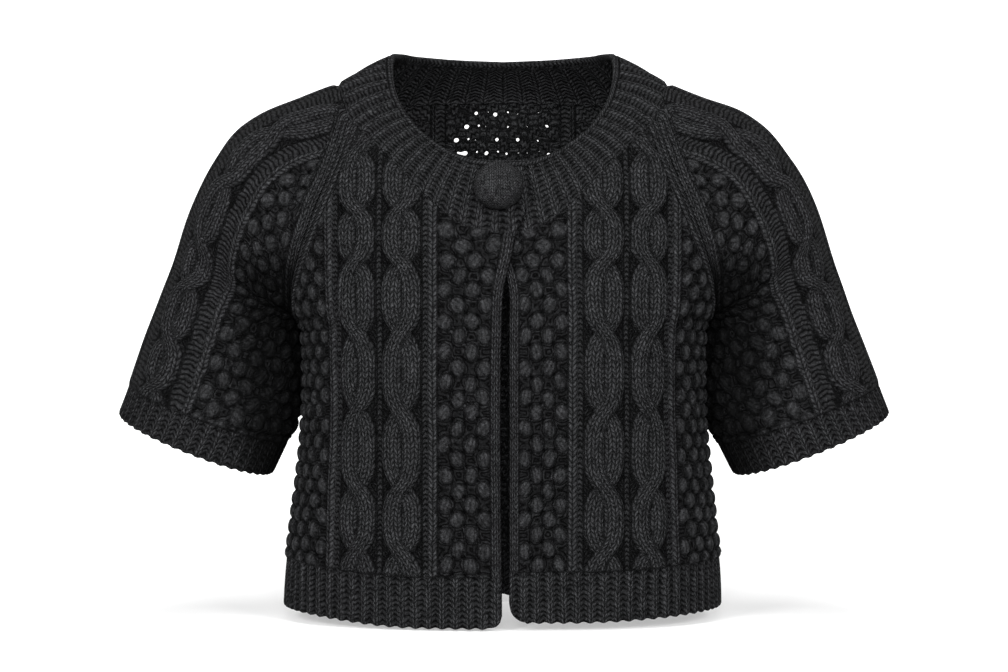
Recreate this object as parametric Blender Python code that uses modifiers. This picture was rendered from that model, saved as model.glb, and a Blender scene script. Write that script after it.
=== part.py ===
"""A cropped, short-sleeved cable cardigan in chunky yarn, in the form it takes when it is worn.

Metres, +Z up, +X towards the wearer's left, and the wearer faces -Y. The origin is in the middle
of the neck opening, level with the high points of the shoulders. Sizes are written in millimetres
and scaled by MM. Each knitted panel is a wall: a plain inside on the garment's form, and an
outside that stands off it by the cloth's thickness and by the cables and ribs knitted into it.

On a panel, s is the distance across it in millimetres and t the distance up it.
"""

import functools
import math

import bmesh
import bpy
import numpy as np
from mathutils import Vector
from mathutils.geometry import delaunay_2d_cdt

MM = 0.001
FRONT, BACK = -1, 1  # the sign of Y that a side of the garment faces
RIGHT, LEFT = -1, 1  # the sign of X on the wearer's right and left

# The cloth and its stitches
STITCH = 3.9  # width of one knitted stitch
WALL = 3.2  # thickness of the plain cloth
SEAM_GAP = 0.3  # between two panels at a seam
ROUNDNESS = 2.4  # how square the body's rings are, where 2 is an ellipse
STRAND = 2 * STITCH  # half the width of one cable strand
CABLE_HEIGHT = 4.4
CABLE_BED = 0.6  # the ground between a cable's strands, as a share of its height
OVER, UNDER = 1.6, -1.2  # how far a strand rises and sinks where two strands cross
COLUMN_HEIGHT = 2.6
RIB_HEIGHT = 2.2
EDGE_HEIGHT = 1.6
HEM_SHARE = 0.8  # how much of their height the ribs have at a hem or an edge
# The bobbled ground has its mean height, because its bobbles are far too many for the wall
GROUND = {"bobbles": 2.4, "plain": EDGE_HEIGHT, "purl": 0.0}
SEAM_RUN = 9.0  # the raised stitches sink to plain cloth in this distance of a seam

HEM = -438.0  # height of the lowest hem edge
UNDERARM = -205.0
HEM_SIDE = -430.5
HEM_RIB = 38.0  # depth of the ribbed hem
HEM_PITCH = 9.9
CUFF_RIB = 25.0
CUFF_PITCH = 9.0
HEM_CORNER = {RIGHT: 9.0, LEFT: 14.0}  # radius at the foot of each front edge
HEM_RISE = {RIGHT: 0.0, LEFT: 4.0}  # how far each front stops short of the lowest edge

# Half rings of the body, inside the cloth: from the hem up, by height
BODY_COLUMNS = ("height", "half_width", "front", "back")
BODY = np.array(
    (
        (-440, 165.0, 109, 98),
        (-400, 163.5, 110, 97),
        (-370, 160.0, 111, 96),
        (-335, 155.5, 113, 96),
        (-300, 152.0, 116, 98),
        (-260, 150.5, 118, 101),
        (-228, 150.5, 118, 104),
        (-214, 151.6, 117, 105),
        (-205, 158.5, 116, 106),
        (-190, 164.0, 114, 107),
        (-170, 168.5, 111, 109),
        (-145, 171.0, 108, 110),
        (-122, 170.0, 103, 109),
        (-90, 156.0, 93, 107),
        (-61, 139.0, 81, 103),
        (-32, 128.0, 66, 97),
    )
)

# The raglan seams: how far each lies in front of or behind the side, by height
RAGLAN_COLUMNS = ("height", "front", "back")
RAGLAN = np.array(
    (
        (-205, 0.0, 0.0),
        (-200, 20.0, 22.0),
        (-190, 35.0, 40.0),
        (-177, 48.0, 55.0),
        (-150, 64.0, 74.0),
        (-122, 70.0, 82.0),
        (-90, 65.0, 82.0),
        (-61, 53.0, 76.0),
        (-36, 40.0, 68.0),
    )
)
RAGLAN_TOP = {FRONT: -61.0, BACK: -36.0}
RAGLAN_STEPS = 20

# Where the neckband is sewn to the fronts and to the back: its height, by the share of the way
# from the middle to the raglan seam
NECK_SEAM_COLUMNS = ("share", "height")
NECK_SEAM = {
    FRONT: np.array(((0, -149), (0.28, -141), (0.47, -122), (0.70, -95), (1, -61))),
    BACK: np.array(((0, -32), (0.40, -33), (0.75, -34.5), (1, -36))),
}

# The free edge of the neckband, from the middle of the front round to the middle of the back
NECK_EDGE_COLUMNS = ("share", "x", "y", "z")
NECK_EDGE = np.array(
    (
        (0.00, 0, -84, -94),
        (0.12, 25, -82, -92),
        (0.24, 47, -73, -83),
        (0.36, 69, -53, -64),
        (0.46, 81, -30, -42),
        (0.55, 85, -8, -22),
        (0.62, 84, 10, -8),
        (0.70, 78, 28, -4),
        (0.78, 65, 43, -4),
        (0.88, 38, 57, -5),
        (1.00, 0, 64, -6),
    )
)
NECK_RIBS = {"front": 13, "sleeve": 8, "back": 14}  # ribs on each stretch of the neckband
STEPS_IN_RIB = 2
RIBS_ROUND = NECK_RIBS["front"] + NECK_RIBS["sleeve"] + NECK_RIBS["back"] / 2
FRONT_CORNER = NECK_RIBS["front"]  # ribs from the middle of the front to each end of the sleeve
BACK_CORNER = FRONT_CORNER + NECK_RIBS["sleeve"]
BAND_RIB = 12.0  # mean width of one rib
BAND_STEP = BAND_RIB / STEPS_IN_RIB
BAND_DEPTH = 50.0
BAND_BULGE = 2.5
BAND_END_LEAN = 1.5  # ribs by which each end of the band reaches further at the neck edge
BAND_END_STEPS = 5
BAND_SPARE = 3.0  # ribs past the middle for which its form is worked out
BAND_ROWS = (0.18, 0.52, 0.86)  # where up the band its ribs have points

# The sleeve, inside the cloth. The ridge is its outermost line, from the neckband (along 0) past
# the underarm (along 1) to the cuff (along 2). Under is its underarm seam. Crown is how far the
# form runs level from the ridge, and lead is the direction in which it leaves its other edge.
SLEEVE_COLUMNS = (
    "along", "ridge_x", "ridge_z", "under_x", "under_z", "crown", "lead_x", "lead_y", "lead_z",
)
SLEEVE = np.array(
    (
        (0.00, 126.0, -32.0, 158.5, -205, 26, 6, -14, 14),
        (0.16, 155.2, -43.0, 158.5, -205, 40, 14, -8, 14),
        (0.33, 186.2, -55.1, 158.5, -205, 52, 20, 2, 14),
        (0.43, 202.1, -66.0, 158.5, -205, 58, 22, 6, 12),
        (0.585, 219.8, -89.8, 158.5, -205, 65, 25, 14, 7),
        (0.79, 237.9, -125.8, 158.5, -205, 72, 22, 36, -1),
        (0.90, 245.5, -145.0, 158.5, -205, 74, 22, 50, -5),
        (1.00, 252.0, -163.4, 158.5, -205, 76, 16, 62, -7),
        (1.06, 254.4, -170.8, 166.2, -209, 76, 9, 68, -4),
        (1.15, 258.2, -182.0, 169.5, -218, 77, 2, 75, -1),
        (1.30, 264.4, -200.6, 169.0, -239, 78, 0, 78, 0),
        (1.50, 273.5, -225.0, 167.5, -266, 79, 0, 79, 0),
        (1.70, 281.8, -249.0, 169.5, -289, 80, 0, 80, 0),
        (1.85, 288.0, -266.5, 175.0, -309, 80, 0, 80, 0),
        (2.00, 294.8, -283.5, 184.0, -327.5, 80, 0, 80, 0),
    )
)
CUFF_TILT = 7.0  # how much lower the cuff hangs in front than behind

# The two front edges: how far each reaches past the middle, by height
EDGE_COLUMNS = ("height", "right", "left")
FRONT_EDGE = np.array(
    (
        (-440, -0.5, -4.5),
        (-210, -0.5, -4.5),
        (-195, 0.0, -4.5),
        (-180, 2.5, -2.0),
        (-165, 6.5, 4.0),
        (-148, 10.0, 9.0),
        (-125, 18.0, 14.0),
        (-80, 19.0, 15.0),
    )
)
LAP_SHIFT = 3.7  # the right front comes forward this far where it laps, and the left goes back
LAP_NEAR, LAP_FAR = 25, 80  # the shift is whole up to this far from the middle, then fades out
LAP_LOW, LAP_HIGH = -215, -165  # between these heights it grows from its share below
LAP_BELOW = 0.3

BUTTON_RIB = 0.35  # from the middle, on the wearer's right
BUTTON_UP = 28.5  # from the neckband's seam
BUTTON_RADIUS = 19.0
BUTTON_THICKNESS = 21.0
BUTTON_RIM = 6.0  # radius of the edge of its underside
BUTTON_OFF = 5.5  # from the neckband's inside to the button's underside
SHANK_RADIUS = 2.8
SHANK_LENGTH = 6.8
BUTTONHOLE_RADIUS = 4.0
BUTTONHOLE_DEPTH = 12.0
BUTTONHOLE_BEHIND = 0.8  # how far it is cut behind the neckband's inside

# Which charts the panels are knitted to: stitches from the front edge, or from the middle of the
# back, out to the side seam, and on the sleeve from its ridge down to the underarm
BODY_CHART = (
    ("plain", 2),
    ("bobbles", 10),
    ("column", 2),
    ("purl", 1),
    ("cable", 8),
    ("purl", 1),
    ("cable", 8),
    ("purl", 1),
    ("column", 2),
    ("bobbles", 40),
)
SLEEVE_CHART = (
    ("column", 2),
    ("purl", 8),
    ("cable", 8),
    ("purl", 3),
    ("column", 2),
    ("bobbles", 60),
)
# Where the strands of the cables cross: by height on the body, and up the ridge on the sleeve
BODY_CROSSINGS = (-434, -383, -335, -278, -221, -169, -130, -88, -46, -4)
SLEEVE_CROSSINGS = (-6, 33, 72, 114, 158, 208, 262, 316, 370)

# How finely the walls are made
LINE_STEPS = 60  # along each line that is measured
CABLE_SHARES = np.array((0.0, 0.13, 0.3, 0.5, 0.7, 0.87, 1.0))
GROUND_STEP = 21.0
PLAIN_STEP = 27.0  # on the plain inside
DETAIL_MARGIN = 5.5  # from a panel's edge to its first raised points
PLAIN_MARGIN = 9.0
SIDE_STEPS = 11
EDGE_STEPS = 15
UNDER_STATIONS = (2, 1.85, 1.7, 1.5, 1.3, 1.15, 1.06)
BUTTON_STEPS = 28

YARN = (0.030, 0.031, 0.034, 1.0)
YARN_ROUGHNESS = 0.95


# ---- reading the tables ---------------------------------------------------------------------


def read(table, columns, name, at):
    """A column of a table, read smoothly between its rows."""
    x, y = table[:, 0], table[:, columns.index(name)]
    slope = np.gradient(y, x)
    at = np.clip(at, x[0], x[-1])
    i = np.clip(np.searchsorted(x, at) - 1, 0, len(x) - 2)
    step = x[i + 1] - x[i]
    u = (at - x[i]) / step
    return (
        y[i] * (1 + 2 * u) * (1 - u) ** 2
        + slope[i] * step * u * (1 - u) ** 2
        + y[i + 1] * u * u * (3 - 2 * u)
        - slope[i + 1] * step * u * u * (1 - u)
    )


def ease(low, high, x):
    """0 below low, 1 above high, and smooth between."""
    u = np.clip((x - low) / (high - low), 0, 1)
    return u * u * (3 - 2 * u)


def unit(v):
    return v / np.linalg.norm(v)


def lengths(points):
    """The distance along a line of points, up to each of them."""
    steps = np.linalg.norm(np.diff(points, axis=0), axis=1)
    return np.concatenate(([0.0], np.cumsum(steps)))


def point_along(points, distance):
    run = lengths(points)
    return np.array([np.interp(distance, run, points[:, i]) for i in range(3)])


# ---- the form of the body -------------------------------------------------------------------


@functools.cache
def body_ring(facing, height):
    """A quarter ring of the body, from the middle of the front or back to the side."""
    half = read(BODY, BODY_COLUMNS, "half_width", height)
    depth = read(BODY, BODY_COLUMNS, "front" if facing == FRONT else "back", height)
    turn = np.linspace(0, math.pi / 2, LINE_STEPS)
    x = half * np.sin(turn) ** (2 / ROUNDNESS)
    y = facing * depth * np.cos(turn) ** (2 / ROUNDNESS)
    return np.stack((x, y, np.full_like(x, height)), axis=1)


def lap(hand, x, height):
    """How far a front's cloth moves along Y near the middle, where one front laps the other."""
    near = 1 - ease(LAP_NEAR, LAP_FAR, abs(x))
    grown = LAP_BELOW + (1 - LAP_BELOW) * ease(LAP_LOW, LAP_HIGH, height)
    return hand * LAP_SHIFT * near * grown


def body_point(facing, hand, s, height):
    """The point s from the middle, on the wearer's right or left. A front laps its neighbour."""
    x, y, z = point_along(body_ring(facing, height), abs(s))
    x *= hand * math.copysign(1, s)
    if facing == FRONT:
        y += lap(hand, x, height)
    return np.array((x, y, z))


def body_normal(facing, hand, s, height, reach=1.5):
    inner, outer = max(abs(s) - reach, 0), abs(s)
    if outer < reach:
        inner, outer = -reach, reach
    side = math.copysign(1, s)
    far, near = (body_point(facing, hand, side * at, height) for at in (outer, inner))
    above, below = (body_point(facing, hand, s, height + rise) for rise in (reach, -reach))
    return unit(np.cross(far - near, above - below)) * -facing * hand * side


def across_of(facing, x, height):
    """The distance s of the point of a body ring that is x from the middle plane."""
    ring = body_ring(facing, height)
    return float(np.interp(x, ring[:, 0], lengths(ring)))


def side_of(facing, height):
    return float(lengths(body_ring(facing, height))[-1])


@functools.cache
def raglan_line(facing, hand):
    """A raglan seam from the neckband to the underarm: its shares, s and heights."""
    heights = np.linspace(RAGLAN_TOP[facing], UNDERARM, LINE_STEPS)
    depths = read(RAGLAN, RAGLAN_COLUMNS, "front" if facing == FRONT else "back", heights)
    s = []
    for height, y in zip(heights, depths):
        ring = body_ring(facing, height)
        s.append(np.interp(-y, -abs(ring[:, 1]), lengths(ring)))
    run = lengths(np.array([body_point(facing, hand, *p) for p in zip(s, heights)]))
    return run / run[-1], np.array(s), heights


def raglan(facing, hand, share):
    """The (s, height) of a point of a raglan seam, from the neckband (0) to the underarm (1)."""
    shares, s, heights = raglan_line(facing, hand)
    return float(np.interp(share, shares, s)), float(np.interp(share, shares, heights))


# ---- the form of the sleeve -----------------------------------------------------------------


def sleeve_value(name, along):
    return float(read(SLEEVE, SLEEVE_COLUMNS, name, along))


@functools.cache
def sleeve_arc(facing, hand, along):
    """Half a ring of the sleeve, from its ridge to its raglan seam or its underarm seam."""
    v = {name: sleeve_value(name, along) for name in SLEEVE_COLUMNS}
    droop = CUFF_TILT * ease(1.0, 2.0, along)
    ridge = np.array((hand * v["ridge_x"], 0.0, v["ridge_z"]))
    if along < 1:
        end = body_point(facing, hand, *raglan(facing, hand, along))
    else:
        end = np.array((hand * v["under_x"], 0.0, v["under_z"]))
    level = ridge + np.array((0, facing * v["crown"], facing * droop))
    lead = end + np.array((hand * v["lead_x"], facing * v["lead_y"], v["lead_z"] + facing * droop))
    u = np.linspace(0, 1, LINE_STEPS)[:, None]
    return (
        ridge * (1 - u) ** 3
        + level * 3 * u * (1 - u) ** 2
        + lead * 3 * u * u * (1 - u)
        + end * u**3
    )


ALONG = np.linspace(2, 0, 81)
RIDGE = np.array([[sleeve_value("ridge_x", a), 0, sleeve_value("ridge_z", a)] for a in ALONG])
SLEEVE_LENGTH = float(lengths(RIDGE)[-1])


def sleeve_along(t):
    return float(np.interp(t, lengths(RIDGE), ALONG))


def sleeve_up(along):
    return float(np.interp(-along, -ALONG, lengths(RIDGE)))


UNDERARM_UP = sleeve_up(1.0)


def sleeve_point(hand, s, t):
    """The point t up the ridge from the cuff and s round from the ridge, to the front if s > 0."""
    facing = FRONT if s >= 0 else BACK
    return point_along(sleeve_arc(facing, hand, sleeve_along(t)), abs(s))


def sleeve_edge(facing, hand, t):
    return float(lengths(sleeve_arc(facing, hand, sleeve_along(t)))[-1])


def sleeve_normal(hand, s, t, reach=1.5):
    facing = FRONT if s >= 0 else BACK
    limit = sleeve_edge(facing, hand, t)
    a, b = s - reach, s + reach
    if abs(s) > limit - reach:
        a, b = sorted((s, math.copysign(limit - reach, s)))
    below, above = (
        sleeve_point(hand, s / limit * sleeve_edge(facing, hand, up), up)
        for up in (max(t - reach, 0), min(t + reach, SLEEVE_LENGTH))
    )
    across = sleeve_point(hand, b, t) - sleeve_point(hand, a, t)
    return -hand * unit(np.cross(across, above - below))


# ---- the form of the neckband ---------------------------------------------------------------


@functools.cache
def neck_seam_line(facing, hand):
    """The neckband's seam on a front or half the back, from the middle: its run, s and heights."""
    share = np.linspace(0, 1, LINE_STEPS)
    z = read(NECK_SEAM[facing], NECK_SEAM_COLUMNS, "height", share)
    x = share * body_point(facing, LEFT, *raglan(facing, LEFT, 0))[0]
    s = np.array([across_of(facing, a, h) for a, h in zip(x, z)])
    return lengths(np.array([body_point(facing, hand, *p) for p in zip(s, z)])), s, z


def neck_seam(facing, hand, rib):
    """The (s, height) where the seam meets a rib, counted from the middle of the front or back."""
    run, s, z = neck_seam_line(facing, hand)
    at = rib * run[-1] / (NECK_RIBS["front"] if facing == FRONT else NECK_RIBS["back"] / 2)
    if at < 0:  # past the middle, where one front laps the other
        return at, float(z[0])
    return float(np.interp(at, run, s)), float(np.interp(at, run, z))


def sleeve_top(hand, rib):
    """s where the neckband's seam on the sleeve meets a rib, counted from the front corner."""
    front = sleeve_edge(FRONT, hand, SLEEVE_LENGTH)
    return front - rib / NECK_RIBS["sleeve"] * (front + sleeve_edge(BACK, hand, SLEEVE_LENGTH))


def band_foot(hand, rib):
    """Where a rib of the neckband is sewn on, and which way that panel faces there."""
    if rib <= FRONT_CORNER:
        at = neck_seam(FRONT, hand, rib)
        return body_point(FRONT, hand, *at), body_normal(FRONT, hand, *at)
    if rib < BACK_CORNER:
        s = sleeve_top(hand, rib - FRONT_CORNER)
        return sleeve_point(hand, s, SLEEVE_LENGTH), sleeve_normal(hand, s, SLEEVE_LENGTH)
    at = neck_seam(BACK, hand, RIBS_ROUND - rib)
    return body_point(BACK, hand, *at), body_normal(BACK, hand, *at)


@functools.cache
def band_lines(hand):
    """For one half of the neckband, by ribs from the middle of the front: its foot and its edge."""
    ribs = np.arange(-BAND_SPARE, RIBS_ROUND + 0.1, 1 / STEPS_IN_RIB)
    foot, edge = [], []
    for rib in ribs:
        foot.append(band_foot(hand, rib)[0])
        share = abs(rib) / RIBS_ROUND
        x, y, z = (float(read(NECK_EDGE, NECK_EDGE_COLUMNS, name, share)) for name in "xyz")
        x *= hand * math.copysign(1, rib)
        edge.append((x, y + lap(hand, x, z) * ease(0.46, 0.2, share), z))
    return ribs, np.array(foot), np.array(edge)


def front_edge(hand, height):
    """s of a front's free edge, which is below 0 where it reaches past the middle."""
    return -float(read(FRONT_EDGE, EDGE_COLUMNS, "right" if hand == RIGHT else "left", height))


def front_ribs(hand):
    """Where the neckband is sewn to a front, by ribs: its free edge, then outwards by half ribs."""
    height = NECK_SEAM[FRONT][0, 1]
    rib = neck_seam_line(FRONT, hand)[0][-1] / NECK_RIBS["front"]
    return [front_edge(hand, height) / rib, *np.arange(-0.5, FRONT_CORNER + 0.1, 1 / STEPS_IN_RIB)]


def band_point(s, t):
    """A point of the neckband: s round it, from the middle of the back, and t up from its seam."""
    hand = LEFT if s >= 0 else RIGHT
    ribs, foot, edge = band_lines(hand)
    rib = RIBS_ROUND - abs(s) / BAND_RIB
    low = np.array([np.interp(rib, ribs, foot[:, i]) for i in range(3)])
    high = np.array([np.interp(rib, ribs, edge[:, i]) for i in range(3)])
    up = t / BAND_DEPTH
    out = np.array((low[0] + high[0], (low[1] + high[1]) * 1.4, 160.0))
    return low + (high - low) * up + unit(out) * BAND_BULGE * 4 * up * (1 - up)


def band_normal(s, t, reach=BAND_RIB / 2):
    low, high = max(t - 3, 0), min(t + 3, BAND_DEPTH)
    across = band_point(s + reach, t) - band_point(s - reach, t)
    up = band_point(s, high) - band_point(s, low)
    return -unit(np.cross(across, up))


# ---- where two panels meet ------------------------------------------------------------------


def mitre(*normals):
    """The direction that a seam's wall takes between panels, long enough for their thickness."""
    total = unit(sum(normals))
    return total / max(total @ normals[0], 0.65)


def side_normal(hand, height):
    side = [body_normal(f, hand, side_of(f, height), height) for f in (FRONT, BACK)]
    return mitre(*side)


def under_normal(hand, t):
    """Along the sleeve's own seam, which lies under the arm; at its top it meets the body's."""
    normal = sleeve_normal(hand, sleeve_edge(FRONT, hand, t), t) * (1, 0, 1)
    if t < UNDERARM_UP - 1:
        return unit(normal)
    return mitre(side_normal(hand, UNDERARM), unit(normal))


def raglan_normal(facing, hand, share):
    if share == 1:
        return under_normal(hand, UNDERARM_UP - 2 * SEAM_GAP)
    s, height = raglan(facing, hand, share)
    t = sleeve_up(share)
    round_sleeve = -facing * (sleeve_edge(facing, hand, t) - 1.0)
    return mitre(body_normal(facing, hand, s, height), sleeve_normal(hand, round_sleeve, t))


@functools.cache
def neck_normal(hand, rib):
    """At the neckband's seam, where a sleeve's panel also meets it at the two corners."""
    normals = [band_foot(hand, rib)[1], band_normal(hand * (RIBS_ROUND - rib) * BAND_RIB, 1.0)]
    if rib in (FRONT_CORNER, BACK_CORNER):
        s = sleeve_top(hand, rib - FRONT_CORNER)
        normals.append(sleeve_normal(hand, s - math.copysign(1.0, s), SLEEVE_LENGTH))
    return mitre(*normals)


# ---- what is knitted into the cloth ---------------------------------------------------------


def zones(chart):
    """(kind, start, end, number of the cable) of each zone of a chart, in millimetres."""
    found, start, cable = [], 0.0, 0
    for kind, stitches in chart:
        end = start + stitches * STITCH
        found.append((kind, start, end, cable))
        cable += kind == "cable"
        start = end
    return found


def cable_relief(off, phase, turn):
    """Two strands that change places at each crossing, a whole phase, and one is always on top."""
    wave = math.tanh(2.0 * math.sin(math.pi * phase)) / math.tanh(2.0) * turn
    crossing = 1 - wave * wave
    reach = STRAND * abs(wave) + STRAND
    height = CABLE_BED * CABLE_HEIGHT * max(1 - (abs(off) / reach) ** 4, 0)
    for centre, lift in ((wave * STRAND, OVER), (-wave * STRAND, UNDER)):
        dome = max(1 - (abs(off - centre) / STRAND) ** 2.2, 0) ** 0.6
        height = max(height, (CABLE_HEIGHT + lift * crossing) * dome)
    return height


def chart_relief(chart, crossings, s, t):
    """The height of the stitches at s from the chart's start and t up the panel."""
    phase = np.interp(t, crossings, range(len(crossings)))
    for kind, start, end, cable in zones(chart):
        middle = (start + end) / 2
        if s < end and kind == "cable":
            return cable_relief(s - middle, phase, 1 if cable % 2 else -1)
        if s < end and kind == "column":
            return COLUMN_HEIGHT * max(math.cos(math.pi * (s - middle) / (end - start)), 0) ** 0.6
        if s < end:
            break
    return GROUND[kind]


def rib_relief(s, pitch):
    return RIB_HEIGHT * (0.5 - 0.5 * math.cos(2 * math.pi * s / pitch))


def grid(across, up):
    return [(s, t) for s in across for t in up]


def chart_points(chart, crossings, low, high):
    """Where a chart needs points: four rows to each lobe of a cable, and few on plain ground."""
    quarters = np.arange(0, len(crossings) - 0.9, 0.25)
    rows = np.interp(quarters, range(len(crossings)), crossings)
    rows = rows[(rows > low) & (rows < high)]
    sparse = np.arange(low, high, GROUND_STEP)
    found = []
    for kind, start, end, _ in zones(chart):
        if kind == "cable":
            found += grid(start + CABLE_SHARES * (end - start), rows)
        elif kind == "column":
            found += grid(((start + end) / 2,), rows[::2])
        elif end - start > GROUND_STEP:
            across = np.arange(start + 0.6 * GROUND_STEP, end - 0.25 * GROUND_STEP, GROUND_STEP)
            found += grid(across, sparse)
    return found


# ---- a knitted wall -------------------------------------------------------------------------


class Outline:
    """The edge of a panel as a closed loop of (s, t), with what is special at each point.

    A note may give the direction and the height of the outside there, and say that the point is
    sewn to another point of the same panel.
    """

    def __init__(self):
        self.points, self.notes = [], []

    def add(self, s, t, **note):
        self.points.append((float(s), float(t)))
        self.notes.append(note)

    def inset(self):
        """The loop moved in by half the seam gap, apart from points sewn to their own panel."""
        p = np.array(self.points)
        after = np.roll(p, -1, axis=0)
        turn = math.copysign(1, np.sum(p[:, 0] * after[:, 1] - p[:, 1] * after[:, 0]))
        moved = []
        for i, point in enumerate(p):
            a, b = unit(point - p[i - 1]), unit(after[i] - point)
            along = (a + b) / max(1 + a @ b, 0.6)  # longer at a corner, but not without end
            way = turn * np.array((-along[1], along[0]))
            moved.append(point if "sewn" in self.notes[i] else point + way * SEAM_GAP / 2)
        return np.array(moved)


def distance_to(point, line):
    """How far a point is from a line of points."""
    along = line[1:] - line[:-1]
    off = point - line[:-1]
    share = np.clip((off * along).sum(axis=1) / (along * along).sum(axis=1), 0, 1)
    return float(np.linalg.norm(off - share[:, None] * along, axis=1).min())


def inside(point, loop, margin):
    """Whether a point lies inside a closed loop, at least a margin from it."""
    after = np.roll(loop, -1, axis=0)
    crossed = (loop[:, 1] > point[1]) != (after[:, 1] > point[1])
    a, b = loop[crossed], after[crossed]
    at = a[:, 0] + (point[1] - a[:, 1]) * (b[:, 0] - a[:, 0]) / (b[:, 1] - a[:, 1])
    if (at > point[0]).sum() % 2 == 0:
        return False
    return distance_to(point, np.vstack((loop, loop[:1]))) >= margin


def triangles(loop, points):
    """The triangles between a loop and the points inside it, as places in both, in that order."""
    every = [Vector(p) for p in (*loop, *points)]
    edges = [(i, (i + 1) % len(loop)) for i in range(len(loop))]
    found = delaunay_2d_cdt(every, edges, [list(range(len(loop)))], 1, 1e-6)
    return [[found[3][i][0] for i in face] for face in found[2]]


def knit(name, outline, detail, place, relief):
    """A closed wall: plain inside, and outside raised by the relief at the points of detail."""
    loop = outline.inset()
    low, high = loop.min(axis=0), loop.max(axis=0)
    coarse = grid(np.arange(low[0], high[0], PLAIN_STEP), np.arange(low[1], high[1], PLAIN_STEP))
    mesh = bmesh.new()
    shells = []
    for points, margin, outside in ((detail, DETAIL_MARGIN, True), (coarse, PLAIN_MARGIN, False)):
        points = [p for p in points if inside(p, loop, margin)]
        corners = []
        for i, (s, t) in enumerate((*loop, *points)):
            note = outline.notes[i] if i < len(loop) else {}
            point, normal = place(s, t)
            if outside:
                height = WALL + (note.get("relief", 0.0) if i < len(loop) else relief(s, t))
                point = point + note.get("normal", normal) * height
            corners.append(mesh.verts.new(point * MM))
        shells.append(corners)
        for face in triangles(loop, points):
            mesh.faces.new([corners[i] for i in face])
    outer, inner = shells
    for i, note in enumerate(outline.notes):
        j = (i + 1) % len(loop)
        if not ("sewn" in note and "sewn" in outline.notes[j]):
            mesh.faces.new((outer[i], outer[j], inner[j], inner[i]))
    sewn = [shell[i] for shell in shells for i, note in enumerate(outline.notes) if "sewn" in note]
    bmesh.ops.remove_doubles(mesh, verts=sewn, dist=0.01 * MM)
    bmesh.ops.triangulate(mesh, faces=mesh.faces[:])
    bmesh.ops.recalc_face_normals(mesh, faces=mesh.faces[:])
    data = bpy.data.meshes.new(name)
    mesh.to_mesh(data)
    mesh.free()
    data.materials.append(yarn(name))
    made = bpy.data.objects.new(name, data)
    garment.objects.link(made)
    return made


# ---- the pieces -----------------------------------------------------------------------------


def yarn(name):
    """The piece's own material: matt charcoal wool."""
    made = bpy.data.materials.new(name + "_yarn")
    made.use_nodes = True
    shader = made.node_tree.nodes["Principled BSDF"]
    shader.inputs["Base Color"].default_value = YARN
    shader.inputs["Roughness"].default_value = YARN_ROUGHNESS
    return made


def hem_height(facing, hand, s):
    middle = HEM + (HEM_RISE[hand] if facing == FRONT else HEM_RISE[LEFT])
    return middle + (HEM_SIDE - middle) * ease(60, 190, abs(s))


def add_side(outline, facing, hand, sign, upwards):
    """The side seam, from the hem to just short of the underarm or back again."""
    low = hem_height(facing, hand, side_of(facing, HEM_SIDE))
    heights = np.linspace(low, UNDERARM, SIDE_STEPS + 1)[:-1]
    for height in heights if upwards else heights[::-1]:
        outline.add(sign * side_of(facing, height), height, normal=side_normal(hand, height))


def add_raglan(outline, facing, hand, sign, upwards):
    shares = np.linspace(1, 0, RAGLAN_STEPS + 1)[:-1]
    for share in shares if upwards else shares[::-1]:
        s, height = raglan(facing, hand, share)
        outline.add(sign * s, height, normal=raglan_normal(facing, hand, share))


def hem_line(low, high):
    """Where the hem needs points: on each rib and between ribs."""
    step = HEM_PITCH / 2
    return np.arange(math.ceil(low / step), math.floor(high / step) + 1) * step


def hem_points(facing, hand, low, high):
    """The tops of the hem's ribs, and a sparser row where the panel's stitches start."""
    found = []
    for rise, every in ((HEM_RIB - 3, 1), (HEM_RIB + 1, 2)):
        found += [(s, hem_height(facing, hand, s) + rise) for s in hem_line(low, high)[::every]]
    return found


def knit_body(name, outline, detail, facing, hand, seams):
    def place(s, t):
        return body_point(facing, hand, s, t), body_normal(facing, hand, s, t)

    def relief(s, t):
        raised = chart_relief(BODY_CHART, BODY_CROSSINGS, abs(s), t)
        ribbed = rib_relief(s, HEM_PITCH)
        up = t - hem_height(facing, hand, s)
        height = ribbed + (raised - ribbed) * ease(HEM_RIB - 3, HEM_RIB + 1, up)
        return height * ease(0, SEAM_RUN, distance_to((s, t), seams))

    knit(name, outline, detail, place, relief)


def add_front(name, hand):
    outline = Outline()
    corner = HEM_CORNER[hand]
    foot = hem_height(FRONT, hand, 0)
    edge = front_edge(hand, foot)
    side = side_of(FRONT, HEM_SIDE)
    for turn in np.linspace(0, math.pi / 2, 5):
        s, t = corner * (1 - math.cos(turn)), corner * (1 - math.sin(turn))
        outline.add(edge + s, foot + t, relief=EDGE_HEIGHT)
    for s in hem_line(edge + corner + 2, side - 3):
        outline.add(s, hem_height(FRONT, hand, s), relief=HEM_SHARE * rib_relief(s, HEM_PITCH))
    hem_ends = len(outline.points)
    add_side(outline, FRONT, hand, 1, upwards=True)
    add_raglan(outline, FRONT, hand, 1, upwards=True)
    for rib in front_ribs(hand)[::-1]:
        outline.add(*neck_seam(FRONT, hand, rib), normal=neck_normal(hand, rib))
    seams = np.array(outline.points[hem_ends:])
    for t in np.linspace(NECK_SEAM[FRONT][0, 1], foot + corner, EDGE_STEPS)[1:-1]:
        outline.add(front_edge(hand, t), t, relief=EDGE_HEIGHT)
    detail = chart_points(BODY_CHART, BODY_CROSSINGS, HEM + HEM_RIB + 8, RAGLAN_TOP[FRONT])
    detail += hem_points(FRONT, hand, edge + 5, side)
    knit_body(name, outline, detail, FRONT, hand, seams)


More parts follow.
